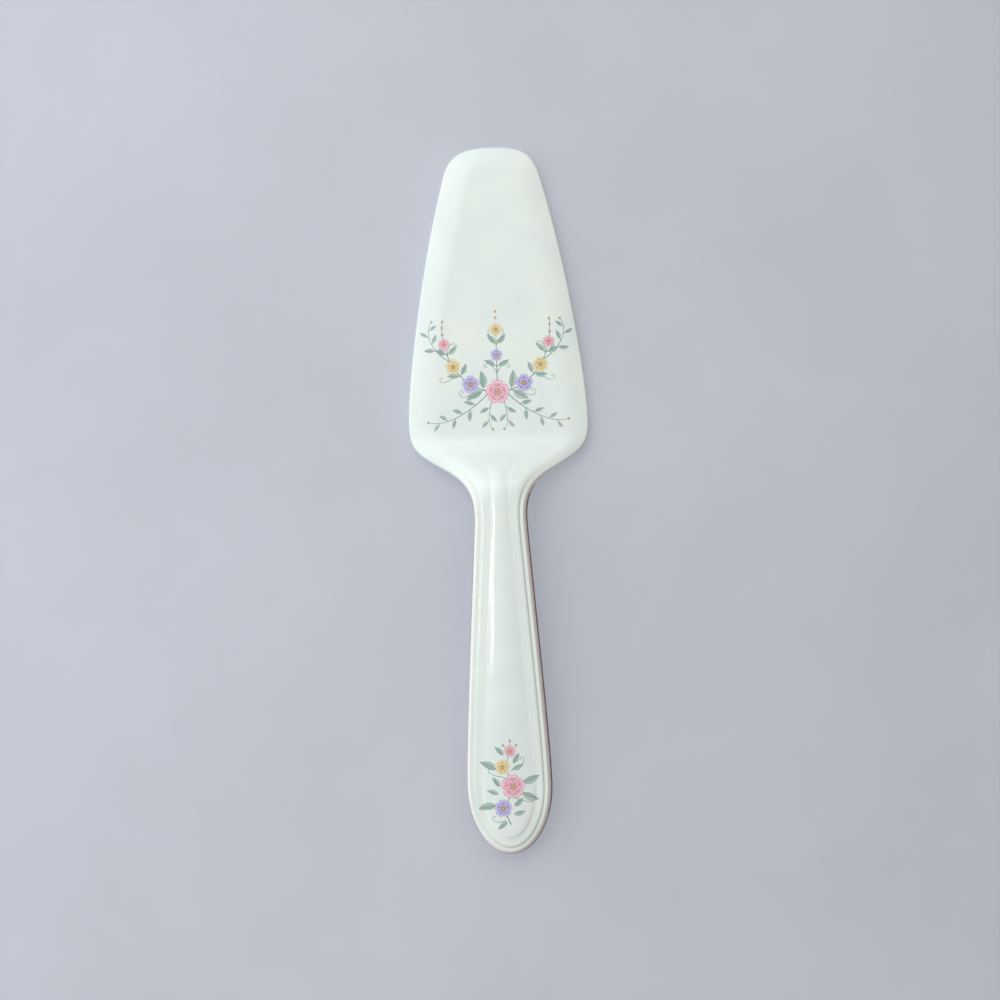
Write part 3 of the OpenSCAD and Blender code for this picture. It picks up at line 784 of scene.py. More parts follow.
    def border_marks(self, insets, bare_run):
        """How much each place belongs to the bare edge, the thin rim and the pools of glaze with painted
        shade in the border.
        """
        size = self.size
        of_handle = 1.0 - self.blade_share[:, None]
        depth = insets / MM
        past_groove = depth - size.groove_inset / MM - GROOVE_POOL_SHADE_OFFSET
        past_gutter = depth - size.gutter_inset / MM
        # Painted shade: the groove's pool is moved past the groove onto the bead's outer flank
        groove = np.exp(-((past_groove / GROOVE_POOL_SHADE_WIDTH) ** 2))
        gutter = np.exp(-((past_gutter / GUTTER_POOL_WIDTH) ** 2))
        return {
            "bare_edge": of_handle * (1.0 - ease((depth - BARE_EDGE_START) / bare_run)),
            "thin_rim": of_handle * (1.0 - ramp(depth, THIN_RIM_LIMITS)),
            "pool": of_handle * np.maximum(groove, GUTTER_POOL_SHARE * gutter),
        }


# Meshes of the clay and the glaze
def new_mesh(name, points, faces, marks, edges=()):
    """A mesh from its points, with marks on them."""
    mesh = bpy.data.meshes.new(name)
    mesh.from_pydata(np.asarray(points).tolist(), edges, faces)
    for label, values in marks.items():
        attribute = mesh.attributes.new(label, "FLOAT", "POINT")
        attribute.data.foreach_set("value", np.asarray(values, np.float32))
    return mesh


def finished_mesh(mesh, sharp_degrees):
    """The mesh with smooth shading between its sharp edges."""
    mesh.validate()
    mesh.shade_smooth()
    mesh.set_sharp_from_angle(angle=math.radians(sharp_degrees))
    mesh.update()
    return mesh


def add_piece(name, mesh):
    """A new object at the origin, in the scene's own collection."""
    piece = bpy.data.objects.new(name, mesh)
    bpy.context.scene.collection.objects.link(piece)
    return piece


def closed_rings(values, mirrored=False):
    """Whole rings round the outline from the values on the right half, then the middle line's values."""
    sign = np.array((-1.0, 1.0, 1.0)) if mirrored else 1.0
    halves = values.swapaxes(0, 1)
    rings = [np.concatenate((half, half[-2:0:-1] * sign)) for half in halves[:-1]]
    return np.concatenate(rings + [halves[-1]])


def skin_faces(ribs, rings, first):
    """Faces of a skin that point up, ring by ring and then to the middle line."""
    last = ribs - 1
    count = 2 * last
    here = np.arange(count)
    after = (here + 1) % count
    faces = []
    for index in range(rings - 2):
        low = first + index * count
        high = low + count
        faces += np.stack((low + here, low + after, high + after, high + here), axis=1).tolist()
    high = first + (rings - 2) * count
    spine = high + count
    for j in range(count):
        a, b = high + j, high + (j + 1) % count
        spine_a = spine + min(j, count - j)
        spine_b = spine + min((j + 1) % count, count - (j + 1) % count)
        if j % last == 0:
            faces += [[a, b, spine_a], [b, spine_b, spine_a]]
        else:
            faces += [[a, b, spine_b], [a, spine_b, spine_a]]
    return faces


def solid_between(name, upper, lower, marks):
    """A closed mesh between an upper and a lower skin, joined along the seam, with marks on its points."""
    ribs, rings = upper.shape[:2]
    top_points = closed_rings(upper, mirrored=True)
    points = np.concatenate((top_points, closed_rings(lower, mirrored=True)))
    first = len(top_points)
    count = 2 * (ribs - 1)
    faces = skin_faces(ribs, rings, 0)
    faces += [face[::-1] for face in skin_faces(ribs, lower.shape[1], first)]
    for j in range(count):
        after = (j + 1) % count
        faces.append([first + j, first + after, after, j])
    values = {label: np.concatenate([closed_rings(skin) for skin in pair]) for label, pair in marks.items()}
    return finished_mesh(new_mesh(name, points, faces, values), SKIN_SHARP_DEGREES)


# Node trees
class Nodes:
    """Short calls that add nodes to a tree and feed their sockets."""

    def __init__(self, tree):
        self.tree = tree

    def add(self, kind, inputs=None, **settings):
        """A node with its settings and its fed inputs."""
        node = self.tree.nodes.new(kind)
        for name, value in settings.items():
            setattr(node, name, value)
        for key, value in (inputs or {}).items():
            self.feed(node.inputs[key], value)
        return node

    def out(self, kind, output, inputs=None, **settings):
        """One output of a new node."""
        return self.add(kind, inputs, **settings).outputs[output]

    def feed(self, socket, value):
        """Links a socket to another one, or gives it a value; a colour gets full cover."""
        if isinstance(value, bpy.types.NodeSocket):
            self.tree.links.new(value, socket)
        elif socket.type == "RGBA":
            socket.default_value = (*value, 1.0)
        else:
            socket.default_value = value

    def math(self, operation, *values):
        """The result of a sum on one or two values."""
        node = self.add("ShaderNodeMath", operation=operation)
        for socket, value in zip(node.inputs, values):
            self.feed(socket, value)
        return node.outputs["Value"]

    def mix(self, factor, first, second):
        """A colour between two others."""
        node = self.add("ShaderNodeMix", {"Factor": factor}, data_type="RGBA")
        sockets = [s for s in node.inputs if s.type == "RGBA"]
        for socket, colour in zip(sockets, (first, second)):
            self.feed(socket, colour)
        return [s for s in node.outputs if s.type == "RGBA"][0]

    def layers(self, colour, *layers):
        """A colour with others laid over it, each as much as its factor says."""
        for factor, layer in layers:
            colour = self.mix(factor, colour, layer)
        return colour

    def range(self, value, low, high, to_low=0.0, to_high=1.0):
        """A smooth step of a value between two limits."""
        inputs = {"Value": value, "From Min": low, "From Max": high, "To Min": to_low, "To Max": to_high}
        return self.out("ShaderNodeMapRange", "Result", inputs, interpolation_type="SMOOTHSTEP")

    def spread(self, noise, low, high):
        """A value that runs between two others as a noise does between its usual limits."""
        return self.range(noise, *NOISE_LIMITS, low, high)

    def noise(self, coordinates, scale, detail=2.0, roughness=0.5):
        """Soft noise, scale being in cells for each unit of the coordinates."""
        inputs = {"Vector": coordinates, "Scale": scale, "Detail": detail, "Roughness": roughness}
        return self.out("ShaderNodeTexNoise", "Fac", inputs)

    def mark(self, name):
        """A value that the mesh carries on its points."""
        return self.out("ShaderNodeAttribute", "Fac", attribute_name=name)

    def place(self):
        """Places in the piece's own frame, which is the shared one."""
        return self.out("ShaderNodeTexCoord", "Object")

    def stored(self, name):
        """A value that the points of a layout carry."""
        return self.out("GeometryNodeInputNamedAttribute", "Attribute", {"Name": name})

    def turned(self, angle):
        """A rotation about the vertical."""
        euler = self.out("ShaderNodeCombineXYZ", "Vector", {"Z": angle})
        return self.out("FunctionNodeEulerToRotation", "Rotation", {"Euler": euler})


# Materials: noise scales are cells for each metre, and relief depths are metres
def new_material(name):
    """An empty material and the calls that fill it."""
    material = bpy.data.materials.new(name)
    material.use_nodes = True
    material.node_tree.nodes.clear()
    return material, Nodes(material.node_tree)


def coat_with(nodes, colour, roughness, relief, depth, **extra):
    """Ends a material in a shader whose surface is uneven by a depth."""
    bump = {"Height": relief, "Distance": depth, "Strength": 1.0}
    inputs = {"Base Color": colour, "Roughness": roughness, **extra}
    inputs["Normal"] = nodes.out("ShaderNodeBump", "Normal", bump)
    shader = nodes.out("ShaderNodeBsdfPrincipled", "BSDF", inputs)
    nodes.add("ShaderNodeOutputMaterial", {"Surface": shader})


def enamelled(nodes, colour, grain, relief):
    """Ends the material of a fired enamel, glossy and slightly raised."""
    coat_with(nodes, colour, nodes.spread(grain, *ENAMEL_ROUGHNESS), relief, ENAMEL_RELIEF)


def drawn_line(nodes, width):
    """How much a place belongs to the thin line that is drawn along a motif's edge."""
    return nodes.range(nodes.mark("rim_gap"), width * 0.5, width, 1.0, 0.0)


def clay_material(finish):
    """Bare fired clay: matt, with darker grains and small pits."""
    material, nodes = new_material("fired_clay")
    place = nodes.place()
    grains = nodes.range(nodes.noise(place, 2600.0, 3.0, 0.7), 0.42, 0.62)
    clouds = nodes.spread(nodes.noise(place, 140.0), 0.0, 0.5)
    colour = nodes.layers(finish.clay, (grains, finish.clay_dark), (clouds, finish.clay_dark))
    coat_with(nodes, colour, nodes.range(grains, 0.0, 1.0, 0.72, 0.9), grains, 0.00004)
    return material


def glaze_material(finish):
    """Glossy cream glaze: cooler where it runs thick, darker in the border with pooled glaze and painted
    shade, warmer and then bare along the handle's edge.
    """
    material, nodes = new_material("cream_glaze")
    place = nodes.place()
    ragged = nodes.spread(nodes.noise(place, 900.0, 3.0, 0.6), -0.16, 0.16)
    bare = nodes.range(nodes.math("ADD", nodes.mark("bare_edge"), ragged), 0.3, 0.85)
    cells = nodes.add("ShaderNodeTexVoronoi", {"Vector": place, "Scale": 210.0}).outputs
    dots = nodes.range(cells["Distance"], 0.03, 0.09, 1.0, 0.0)
    chosen = nodes.range(cells["Color"], 0.8, 0.9, 0.0, 0.22)
    colour = nodes.layers(
        finish.glaze,
        (nodes.range(nodes.noise(place, 38.0, 3.0, 0.55), 0.32, 0.68), finish.glaze_cool),
        (nodes.mark("thin_rim"), finish.glaze_rim),
        # Pooled glaze, partly painted shade on the bead's outer flank, darkens the border's grooves
        (nodes.mark("pool"), finish.glaze_pool),
        (bare, finish.glaze_edge),
        (nodes.math("MULTIPLY", dots, chosen), finish.clay),
    )
    gloss = nodes.spread(nodes.noise(place, 70.0, 3.0, 0.6), 0.05, 0.11)
    roughness = nodes.math("ADD", gloss, nodes.math("MULTIPLY", bare, 0.45))
    shine = {"IOR": GLAZE_IOR, "Specular IOR Level": nodes.range(bare, 0.0, 1.0, 0.5, 0.06)}
    coat_with(nodes, colour, roughness, nodes.noise(place, 330.0), 0.000012, **shine)
    return material


def petal_material(name, body, deep, pale):
    """Enamel of a petal: deep at the heart, pale at the outer end, with fine streaks and a drawn edge."""
    material, nodes = new_material(name)
    along = nodes.mark("along")
    grain = nodes.noise(nodes.place(), 1800.0)
    edge = nodes.math("ADD", along, nodes.spread(grain, -0.1, 0.1))
    wave = nodes.math("SINE", nodes.math("MULTIPLY", nodes.mark("across"), 13.0))
    streaks = nodes.math("MULTIPLY", nodes.range(wave, 0.2, 1.0), nodes.range(along, 0.35, 0.85, 0.5, 0.0))
    colour = nodes.layers(
        deep,
        (nodes.range(edge, 0.02, 0.42), body),
        (nodes.range(edge, 0.5, 0.98, 0.0, 0.85), pale),
        (streaks, deep),
        (nodes.math("MULTIPLY", nodes.mark("tone"), 0.18), pale),
        (nodes.math("MULTIPLY", nodes.mark("inner"), 0.3), body),
        (nodes.range(nodes.mark("rim_gap"), 0.04, 0.18, 0.8, 0.0), pale),
        (drawn_line(nodes, 0.04), deep),
    )
    enamelled(nodes, colour, grain, streaks)
    return material


def leaf_material(finish):
    """Enamel of a leaf: one half shaded, with a midrib, side veins and a drawn edge."""
    material, nodes = new_material("leaf_enamel")
    across = nodes.mark("across")
    spread = nodes.math("ABSOLUTE", across)
    slant = nodes.math("SUBTRACT", nodes.mark("along"), nodes.math("MULTIPLY", spread, 0.22))
    wave = nodes.math("SINE", nodes.math("MULTIPLY", slant, 38.0))
    midrib = nodes.range(spread, 0.05, 0.14, 0.8, 0.0)
    colour = nodes.layers(
        finish.leaf,
        (nodes.range(nodes.mark("tone"), 0.1, 0.9, 0.0, 0.75), finish.leaf_pale),
        (nodes.range(across, -0.15, 0.15, 0.5, 0.0), finish.leaf_deep),
        (nodes.math("MULTIPLY", nodes.range(wave, 0.65, 1.0), 0.5), finish.leaf_deep),
        (midrib, finish.outline),
        (drawn_line(nodes, 0.02), finish.outline),
    )
    enamelled(nodes, colour, nodes.noise(nodes.place(), 1500.0), midrib)
    return material


def stem_material(finish):
    """Enamel of a stem: drawn edges with a lighter middle."""
    material, nodes = new_material("stem_enamel")
    grain = nodes.noise(nodes.place(), 1200.0)
    colour = nodes.layers(
        finish.leaf_deep,
        (nodes.range(nodes.math("ABSOLUTE", nodes.mark("across")), 0.3, 0.9), finish.outline),
        (nodes.range(grain, 0.45, 0.75, 0.0, 0.5), finish.leaf),
    )
    coat_with(nodes, colour, nodes.spread(grain, 0.16, 0.3), grain, 0.000004)
    return material


def berry_material(finish):
    """Enamel of berries and blossom eyes: a lit middle and a shaded edge."""
    material, nodes = new_material("berry_enamel")
    along = nodes.mark("along")
    grain = nodes.noise(nodes.place(), 2400.0)
    edge = nodes.math("ADD", along, nodes.spread(grain, -0.12, 0.12))
    colour = nodes.layers(
        finish.berry,
        (nodes.range(edge, 0.45, 0.95), finish.berry_deep),
        (nodes.range(nodes.mark("dot"), 0.4, 0.6, 0.0, 0.85), finish.berry_deep),
    )
    enamelled(nodes, colour, grain, along)
    return material


def table_material(finish):
    """A plain pale table with faint clouds and a soft sheen."""
    material, nodes = new_material("pale_table")
    place = nodes.place()
    clouds = nodes.spread(nodes.noise(place, 9.0, 4.0, 0.6), 0.0, 1.0)
    colour = nodes.mix(clouds, finish.table, [TABLE_CLOUD_SHARE * value for value in finish.table])
    grain = nodes.noise(place, 240.0, 3.0)
    coat_with(nodes, colour, nodes.spread(grain, 0.62, 0.72), grain, 0.00003)
    return material


# Motifs of the enamel flowers, which the node trees repeat
def gap_to_edge(points, edge):
    """Distance from each point to a closed edge, both flat."""
    gaps = np.full(len(points), np.inf)
    for start, end in zip(edge, np.roll(edge, -1, axis=0)):
        leg = end - start
        reach = np.clip((points - start) @ leg / max(leg @ leg, 1e-12), 0.0, 1.0)
        gaps = np.minimum(gaps, np.linalg.norm(points - start - reach[:, None] * leg, axis=1))
    return gaps


def grid_faces(rows, columns, first=0):
    """Faces of a grid of points, row by row."""
    faces = []
    for row in range(rows - 1):
        for column in range(columns - 1):
            corner = first + row * columns + column
            faces.append([corner, corner + 1, corner + columns + 1, corner + columns])
    return faces


def side_steps(columns):
    """Steps from side to side of a motif, closer together at its edges."""
    return np.sin(np.linspace(-math.pi / 2.0, math.pi / 2.0, columns))


def leaf_motif(name, width):
    """A leaf of unit length along +Y, pointed at both ends, with a bent midrib."""
    rows, columns = LEAF_STEPS
    u = np.arange(1, rows) / rows
    v = side_steps(columns)
    half = width / 2.0 * np.sin(math.pi * u**LEAF_FULLNESS)
    midrib = LEAF_BEND * (u - u * u)
    x = (midrib[:, None] + half[:, None] * v).ravel()
    foot_place, tip_place = (0.0, 0.0), (0.0, 1.0)
    flat = np.concatenate((np.stack((x, np.repeat(u, columns)), axis=1), (foot_place, tip_place)))
    right = np.stack((midrib + half, u), axis=1)
    left = np.stack((midrib - half, u), axis=1)
    edge = np.concatenate(((foot_place,), right, (tip_place,), left[::-1]))
    faces = grid_faces(rows - 1, columns)
    foot, tip = len(flat) - 2, len(flat) - 1
    last = (rows - 2) * columns
    for column in range(columns - 1):
        faces.append([foot, column + 1, column])
        faces.append([tip, last + column, last + column + 1])
    marks = {
        "along": np.append(np.repeat(u, columns), (0.0, 1.0)),
        "across": np.append(np.tile(v, rows - 1), (0.0, 0.0)),
        "rim_gap": gap_to_edge(flat, edge),
    }
    return add_piece(name, new_mesh(name, np.column_stack((flat, np.zeros(len(flat)))), faces, marks))


def petal_motif(name, petals):
    """An outer and an inner petal of a blossom of unit radius, each leaning a little over its neighbour."""
    rows, columns = PETAL_STEPS
    u = np.linspace(0.0, 1.0, rows)
    v = side_steps(columns)
    notch = PETAL_NOTCH * np.exp(-((v / PETAL_NOTCH_WIDTH) ** 2))
    end = 1.0 - PETAL_ROUNDING * np.abs(v) ** PETAL_SQUARENESS - notch
    reach = PETAL_START + u[:, None] * (end - PETAL_START)
    spread = np.radians(PETAL_SPREAD / petals) * v
    across = np.tile(v, rows)
    points, faces, marks = [], [], {"along": [], "across": [], "rim_gap": [], "inner": []}
    for inner in (0, 1):
        scale = INNER_PETAL_SHARE if inner else 1.0
        turn = spread + inner * math.pi / petals
        flat = scale * np.stack((reach * np.sin(turn), reach * np.cos(turn)), axis=2)
        edge = np.concatenate((flat[0], flat[1:, -1], flat[-1, -2::-1], flat[-2:0:-1, 0]))
        flat = flat.reshape(-1, 2)
        faces += grid_faces(rows, columns, inner * len(flat))
        points.append(np.column_stack((flat, across * PETAL_LEAN + inner * INNER_PETAL_RISE)))
        marks["along"].append(np.repeat(u, columns))
        marks["across"].append(across)
        marks["rim_gap"].append(gap_to_edge(flat, edge))
        marks["inner"].append(np.full(len(flat), float(inner)))
    joined = {label: np.concatenate(values) for label, values in marks.items()}
    return add_piece(name, new_mesh(name, np.concatenate(points), faces, joined))


def disc_points(radius, sides, rings):
    """Places and faces of a disc round the origin, with how far out each place is."""
    angles = np.arange(sides) * 2.0 * math.pi / sides
    circle = np.stack((np.cos(angles), np.sin(angles)), axis=1)
    reaches = steps_up(rings)
    points = np.concatenate([((0.0, 0.0),)] + [radius * reach * circle for reach in reaches])
    along = np.concatenate(((0.0,), np.repeat(reaches, sides)))
    faces = []
    for j in range(sides):
        after = (j + 1) % sides
        faces.append([0, 1 + j, 1 + after])
        for ring in range(rings - 1):
            low = 1 + ring * sides
            high = low + sides
            faces.append([low + j, high + j, high + after, low + after])
    return points, faces, along


def disc_motif(name, radius, dots=0):
    """A berry or an eye, with a ring of small dots round it."""
    points, faces, along = disc_points(radius, *DISC_STEPS)
    dot = np.zeros(len(points))
    for index in range(dots):
        turn = (index + 0.5) * 2.0 * math.pi / dots
        middle = EYE_DOT_RING * np.array((math.cos(turn), math.sin(turn)))
        dot_points, dot_faces, dot_along = disc_points(EYE_DOT_RADIUS, *DOT_STEPS)
        faces += [[vertex + len(points) for vertex in face] for face in dot_faces]
        points = np.concatenate((points, dot_points + middle))
        along = np.concatenate((along, dot_along))
        dot = np.concatenate((dot, np.ones(len(dot_points))))
    flat = np.column_stack((points, np.zeros(len(points))))
    return add_piece(name, new_mesh(name, flat, faces, {"along": along, "dot": dot}))


# Layouts of the enamel flowers: places are half width and station, with a turn in degrees and a size
class Layout:
    """Where the motifs of one print go, and how wide its thickest stem is."""

    def __init__(self, stem_width):
        self.stem_width = stem_width
        self.leaves = []
        self.berries = []
        self.eyes = []
        self.blossoms = {"pink": [], "lilac": [], "yellow": []}
        self.stems = []

    def blossom(self, colour, place, size_share):
        """A blossom with its eye."""
        for rows in (self.blossoms[colour], self.eyes):
            rows.append((place[0], place[1], 0.0, size_share))

    def berry(self, place):
        """A small berry."""
        self.berries.append((place[0], place[1], 0.0, SMALL_BERRY_SIZE))

    def leaf(self, place, turn, size_share):
        """A leaf whose foot is at a place."""
        self.leaves.append((place[0], place[1], turn, size_share))

    def stem(self, points, width_shares):
        """A stem along points, with its widths at the foot and the end as shares of the thickest."""
        foot, end = width_shares
        self.stems.append((np.array(points), self.stem_width * foot, self.stem_width * end))


def mirrored(place):
    """The same place on the other side of the long axis."""
    return np.array((-place[0], place[1]))


def heading_way(degrees):
    """The way that a motif points which was turned from the long axis by an angle."""
    return np.array((-math.sin(math.radians(degrees)), math.cos(math.radians(degrees))))


def tendril(place, turn, run, bend, curl):
    """Points of a stem that sets off at a turn, bends by an angle over its length and curls at its end."""
    t = (np.arange(TENDRIL_STEPS) + 0.5) / TENDRIL_STEPS
    turns = np.radians(turn + bend * t + curl * t**4)
    ways = np.stack((-np.sin(turns), np.cos(turns)), axis=1) * (run * MM) / TENDRIL_STEPS
    return np.concatenate(((place,), place + np.cumsum(ways, axis=0)))


def smooth_line(knots, steps=14):
    """Points of a smooth line through knots."""
    knots = np.array(knots)
    padded = np.concatenate((2.0 * knots[:1] - knots[1:2], knots, 2.0 * knots[-1:] - knots[-2:-1]))
    points = []
    for before, start, end, after in zip(padded, padded[1:], padded[2:], padded[3:]):
        legs = (start, start + (end - before) / 6.0, end - (after - start) / 6.0, end)
        points.append(bezier(legs, np.arange(steps) / steps))
    return np.concatenate(points + [knots[-1:]])


def blade_layout(size, flower):
    """The garland with its posy, and sprays that trail towards the neck and along the margins."""
    layout = Layout(flower.stem_width)
    bottom = size.heel_station + flower.garland_offset
    half_width = flower.garland_width / 2.0
    stalk = flower.leaf_width * LEAF_GAP_SHARE

    def garland(t):
        """A place on the right half of the garland."""
        turn = math.radians(90.0 * t)
        rise = flower.garland_height * (1.0 - math.cos(turn))
        return np.array((half_width * math.sin(turn), bottom + rise))

    def garland_heading(t):
        """The garland's slope there, in degrees."""
        turn = math.radians(90.0 * t)
        return math.degrees(math.atan2(flower.garland_height * math.sin(turn), half_width * math.cos(turn)))

    def posy(share_of_height):
        """A place on the middle line above the garland's lowest place."""
        return np.array((0.0, bottom + flower.garland_height * share_of_height))

    def leaf_pair(place, turn, size_share):
        """A stalked leaf and its mirror image."""
        foot = place + heading_way(turn) * stalk
        for side, side_turn in ((np.array, turn), (mirrored, -turn)):
            layout.leaf(side(foot), side_turn, size_share)
            layout.stem((side(place), side(foot)), STALK_WIDTHS)

    def both_stems(points, width_shares):
        """A stem and its mirror image."""
        layout.stem(points, width_shares)
        layout.stem([mirrored(point) for point in points], width_shares)

    layout.blossom("pink", garland(0.0), 1.0)
    layout.blossom("lilac", posy(POSY_LILAC_SHARE), BUD_SIZE)
    layout.blossom("yellow", posy(POSY_YELLOW_SHARE), BUD_SIZE)
    for share_of_height in POSY_BERRY_SHARES:
        layout.berry(posy(share_of_height))
    for side in (np.array, mirrored):
        layout.blossom("lilac", side(garland(GARLAND_LILAC_SHARE)), LILAC_SIZE)
        layout.blossom("yellow", side(garland(GARLAND_YELLOW_SHARE)), YELLOW_SIZE)
        layout.blossom("pink", side(garland(GARLAND_BUD_SHARE)), BUD_SIZE)
        for t in GARLAND_BERRY_SHARES:
            layout.berry(side(garland(t)))
    for index, t in enumerate(GARLAND_LEAF_SHARES):
        for spread in LEAF_SPREADS:
            turn = garland_heading(t) - 90.0 + spread
            leaf_pair(garland(t), turn, 1.0 if index == 0 else SMALL_LEAF_SIZE)
    for share_of_height, spread in POSY_LEAVES:
        leaf_pair(posy(share_of_height), -spread, SMALL_LEAF_SIZE)
    garland_steps = np.linspace(0.0, GARLAND_STEM_END, GARLAND_STEM_POINTS)
    both_stems([garland(t) for t in garland_steps], GARLAND_WIDTHS)
    layout.stem([posy(POSY_STEM_SHARE), posy(POSY_YELLOW_SHARE)], POSY_WIDTHS)
    for start, tendrils in ((garland, GARLAND_TENDRILS), (posy, POSY_TENDRILS)):
        for place, *course in tendrils:
            both_stems(tendril(start(place), *course), TENDRIL_WIDTHS)
    for (place, *course), foot_width, leaves in SPRAYS:
        points = tendril(garland(place), *course)
        both_stems(points, (foot_width, foot_width * SPRAY_TAPER))
        for index, spread in leaves:
            step = points[index + 1] - points[index]
            turn = math.degrees(math.atan2(-step[0], step[1]))
            leaf_pair(points[index], turn + spread, SMALL_LEAF_SIZE * (1.0 - index / SPRAY_LEAF_FADE))
        for side in (np.array, mirrored):
            layout.berry(side(points[-1]))
    return layout


def handle_layout(flower):
    """The sprig on the end of the handle."""
    layout = Layout(flower.stem_width)

    def sprig(across, along):
        """A place on the sprig."""
        return np.array((across * flower.blossom_radius, flower.sprig_offset + flower.sprig_length * along))

    layout.blossom("pink", sprig(*SPRIG_PINK), 1.0)
    layout.blossom("lilac", sprig(*SPRIG_LILAC), LILAC_SIZE)
    layout.blossom("yellow", sprig(*SPRIG_YELLOW), YELLOW_SIZE)
    layout.blossom("pink", sprig(*SPRIG_BUD), BUD_SIZE)
    layout.stem(smooth_line([sprig(*knot) for knot in SPRIG_STEM]), SPRIG_WIDTHS)
    for leaves, size_share in ((SPRIG_LEAVES, SMALL_LEAF_SIZE), (SPRIG_LARGE_LEAVES, 1.0)):
        for across, along, turn in leaves:
            layout.leaf(sprig(across, along), turn, size_share)
    for berry in SPRIG_BERRIES:
        layout.berry(sprig(*berry))
        layout.stem((sprig(*SPRIG_BUD), sprig(*berry)), BERRY_STALK_WIDTHS)
    for across, along, *course in SPRIG_TENDRILS:
        layout.stem(tendril(sprig(across, along), *course), TENDRIL_WIDTHS)
    return layout


# Geometry node trees that repeat the motifs and lay them on the glaze
def new_tree(name, sockets):
    """A geometry node tree with its named inputs, its node calls and its input sockets."""
    tree = bpy.data.node_groups.new(name, "GeometryNodeTree")
    for label, kind in sockets.items():
        tree.interface.new_socket(label, in_out="INPUT", socket_type="NodeSocket" + kind)
    tree.interface.new_socket("Geometry", in_out="OUTPUT", socket_type="NodeSocketGeometry")
    nodes = Nodes(tree)
    return tree, nodes, nodes.add("NodeGroupInput").outputs


def realized(nodes, instances):
    """Plain geometry from instances."""
    return nodes.out("GeometryNodeRealizeInstances", "Geometry", {"Geometry": instances})


def marked(nodes, geometry, name, value, domain):
    """The geometry with a value kept on it under a name."""
    inputs = {"Geometry": geometry, "Name": name, "Value": value}
    settings = {"data_type": "FLOAT", "domain": domain}
    return nodes.out("GeometryNodeStoreNamedAttribute", "Geometry", inputs, **settings)


def printed(nodes, geometry, given):
    """Ends a tree: sets the geometry down on the glaze, above it by its lift, and gives it its enamel."""
    position = nodes.out("GeometryNodeInputPosition", "Position")
    at = nodes.add("ShaderNodeSeparateXYZ", {"Vector": position}).outputs
    above = {"X": at["X"], "Y": at["Y"], "Z": RAY_HEIGHT}
    ray = nodes.add(
        "GeometryNodeRaycast",
        {
            "Target Geometry": nodes.out("GeometryNodeObjectInfo", "Geometry", {"Object": given["Glaze"]}),
            "Source Position": nodes.out("ShaderNodeCombineXYZ", "Vector", above),
            "Ray Direction": (0.0, 0.0, -1.0),
            "Ray Length": 2.0 * RAY_HEIGHT,
        },
    ).outputs
    height = nodes.math("ADD", at["Z"], given["Lift"])
    laid = {
        "Geometry": geometry,
        "Selection": ray["Is Hit"],
        "Position": ray["Hit Position"],
        "Offset": nodes.out("ShaderNodeCombineXYZ", "Vector", {"Z": height}),
    }
    plain = realized(nodes, nodes.out("GeometryNodeSetPosition", "Geometry", laid))
    made = {"Geometry": plain, "Material": given["Enamel"]}
    nodes.add("NodeGroupOutput", {"Geometry": nodes.out("GeometryNodeSetMaterial", "Geometry", made)})


def motif_tree(name):
    """A tree that sets copies of a motif round the middle of each point of a layout, on the glaze."""
    sockets = {
        "Geometry": "Geometry",
        "Motif": "Object",
        "Copies": "Int",
        "Glaze": "Object",
        "Lift": "Float",
        "Tone Seed": "Int",
        "Enamel": "Material",
    }
    tree, nodes, given = new_tree(name, sockets)
    index = nodes.out("GeometryNodeInputIndex", "Index")
    step = nodes.math("DIVIDE", 2.0 * math.pi, given["Copies"])
    ring = {
        "Points": nodes.out("GeometryNodePoints", "Points", {"Count": given["Copies"]}),
        "Instance": nodes.out("GeometryNodeObjectInfo", "Geometry", {"Object": given["Motif"]}),
        "Rotation": nodes.turned(nodes.math("MULTIPLY", index, step)),
    }
    placed = {
        "Points": given["Geometry"],
        "Instance": realized(nodes, nodes.out("GeometryNodeInstanceOnPoints", "Instances", ring)),
        "Rotation": nodes.turned(nodes.stored("turn")),
        "Scale": nodes.stored("size"),
    }
    instances = nodes.out("GeometryNodeInstanceOnPoints", "Instances", placed)
    tone = nodes.add("FunctionNodeRandomValue", {"Seed": given["Tone Seed"]}, data_type="FLOAT")
    tone_value = [s for s in tone.outputs if s.enabled][0]
    toned = marked(nodes, instances, "tone", tone_value, "INSTANCE")
    printed(nodes, realized(nodes, toned), given)
    return tree


def stem_tree(name):
    """A tree that draws a tapering ribbon along each line of a layout, on the glaze."""
    sockets = {"Geometry": "Geometry", "Glaze": "Object", "Lift": "Float", "Enamel": "Material"}
    tree, nodes, given = new_tree(name, sockets)
    lines = nodes.out("GeometryNodeMeshToCurve", "Curve", {"Mesh": given["Geometry"]})
    ends = {"Start": (-1.0, 0.0, 0.0), "End": (1.0, 0.0, 0.0)}
    bar = nodes.out("GeometryNodeCurvePrimitiveLine", "Curve", ends)
    profile = nodes.out("GeometryNodeResampleCurve", "Curve", {"Curve": bar, "Count": RIBBON_POINTS})
    position = nodes.out("GeometryNodeInputPosition", "Position")
    across = nodes.out("ShaderNodeSeparateXYZ", "X", {"Vector": position})
    ribbon = {
        "Curve": nodes.out("GeometryNodeSetCurveNormal", "Curve", {"Curve": lines}, mode="Z_UP"),
        "Profile Curve": marked(nodes, profile, "across", across, "POINT"),
        "Scale": nodes.stored("half_width"),
    }
    printed(nodes, nodes.out("GeometryNodeCurveToMesh", "Mesh", ribbon), given)
    return tree


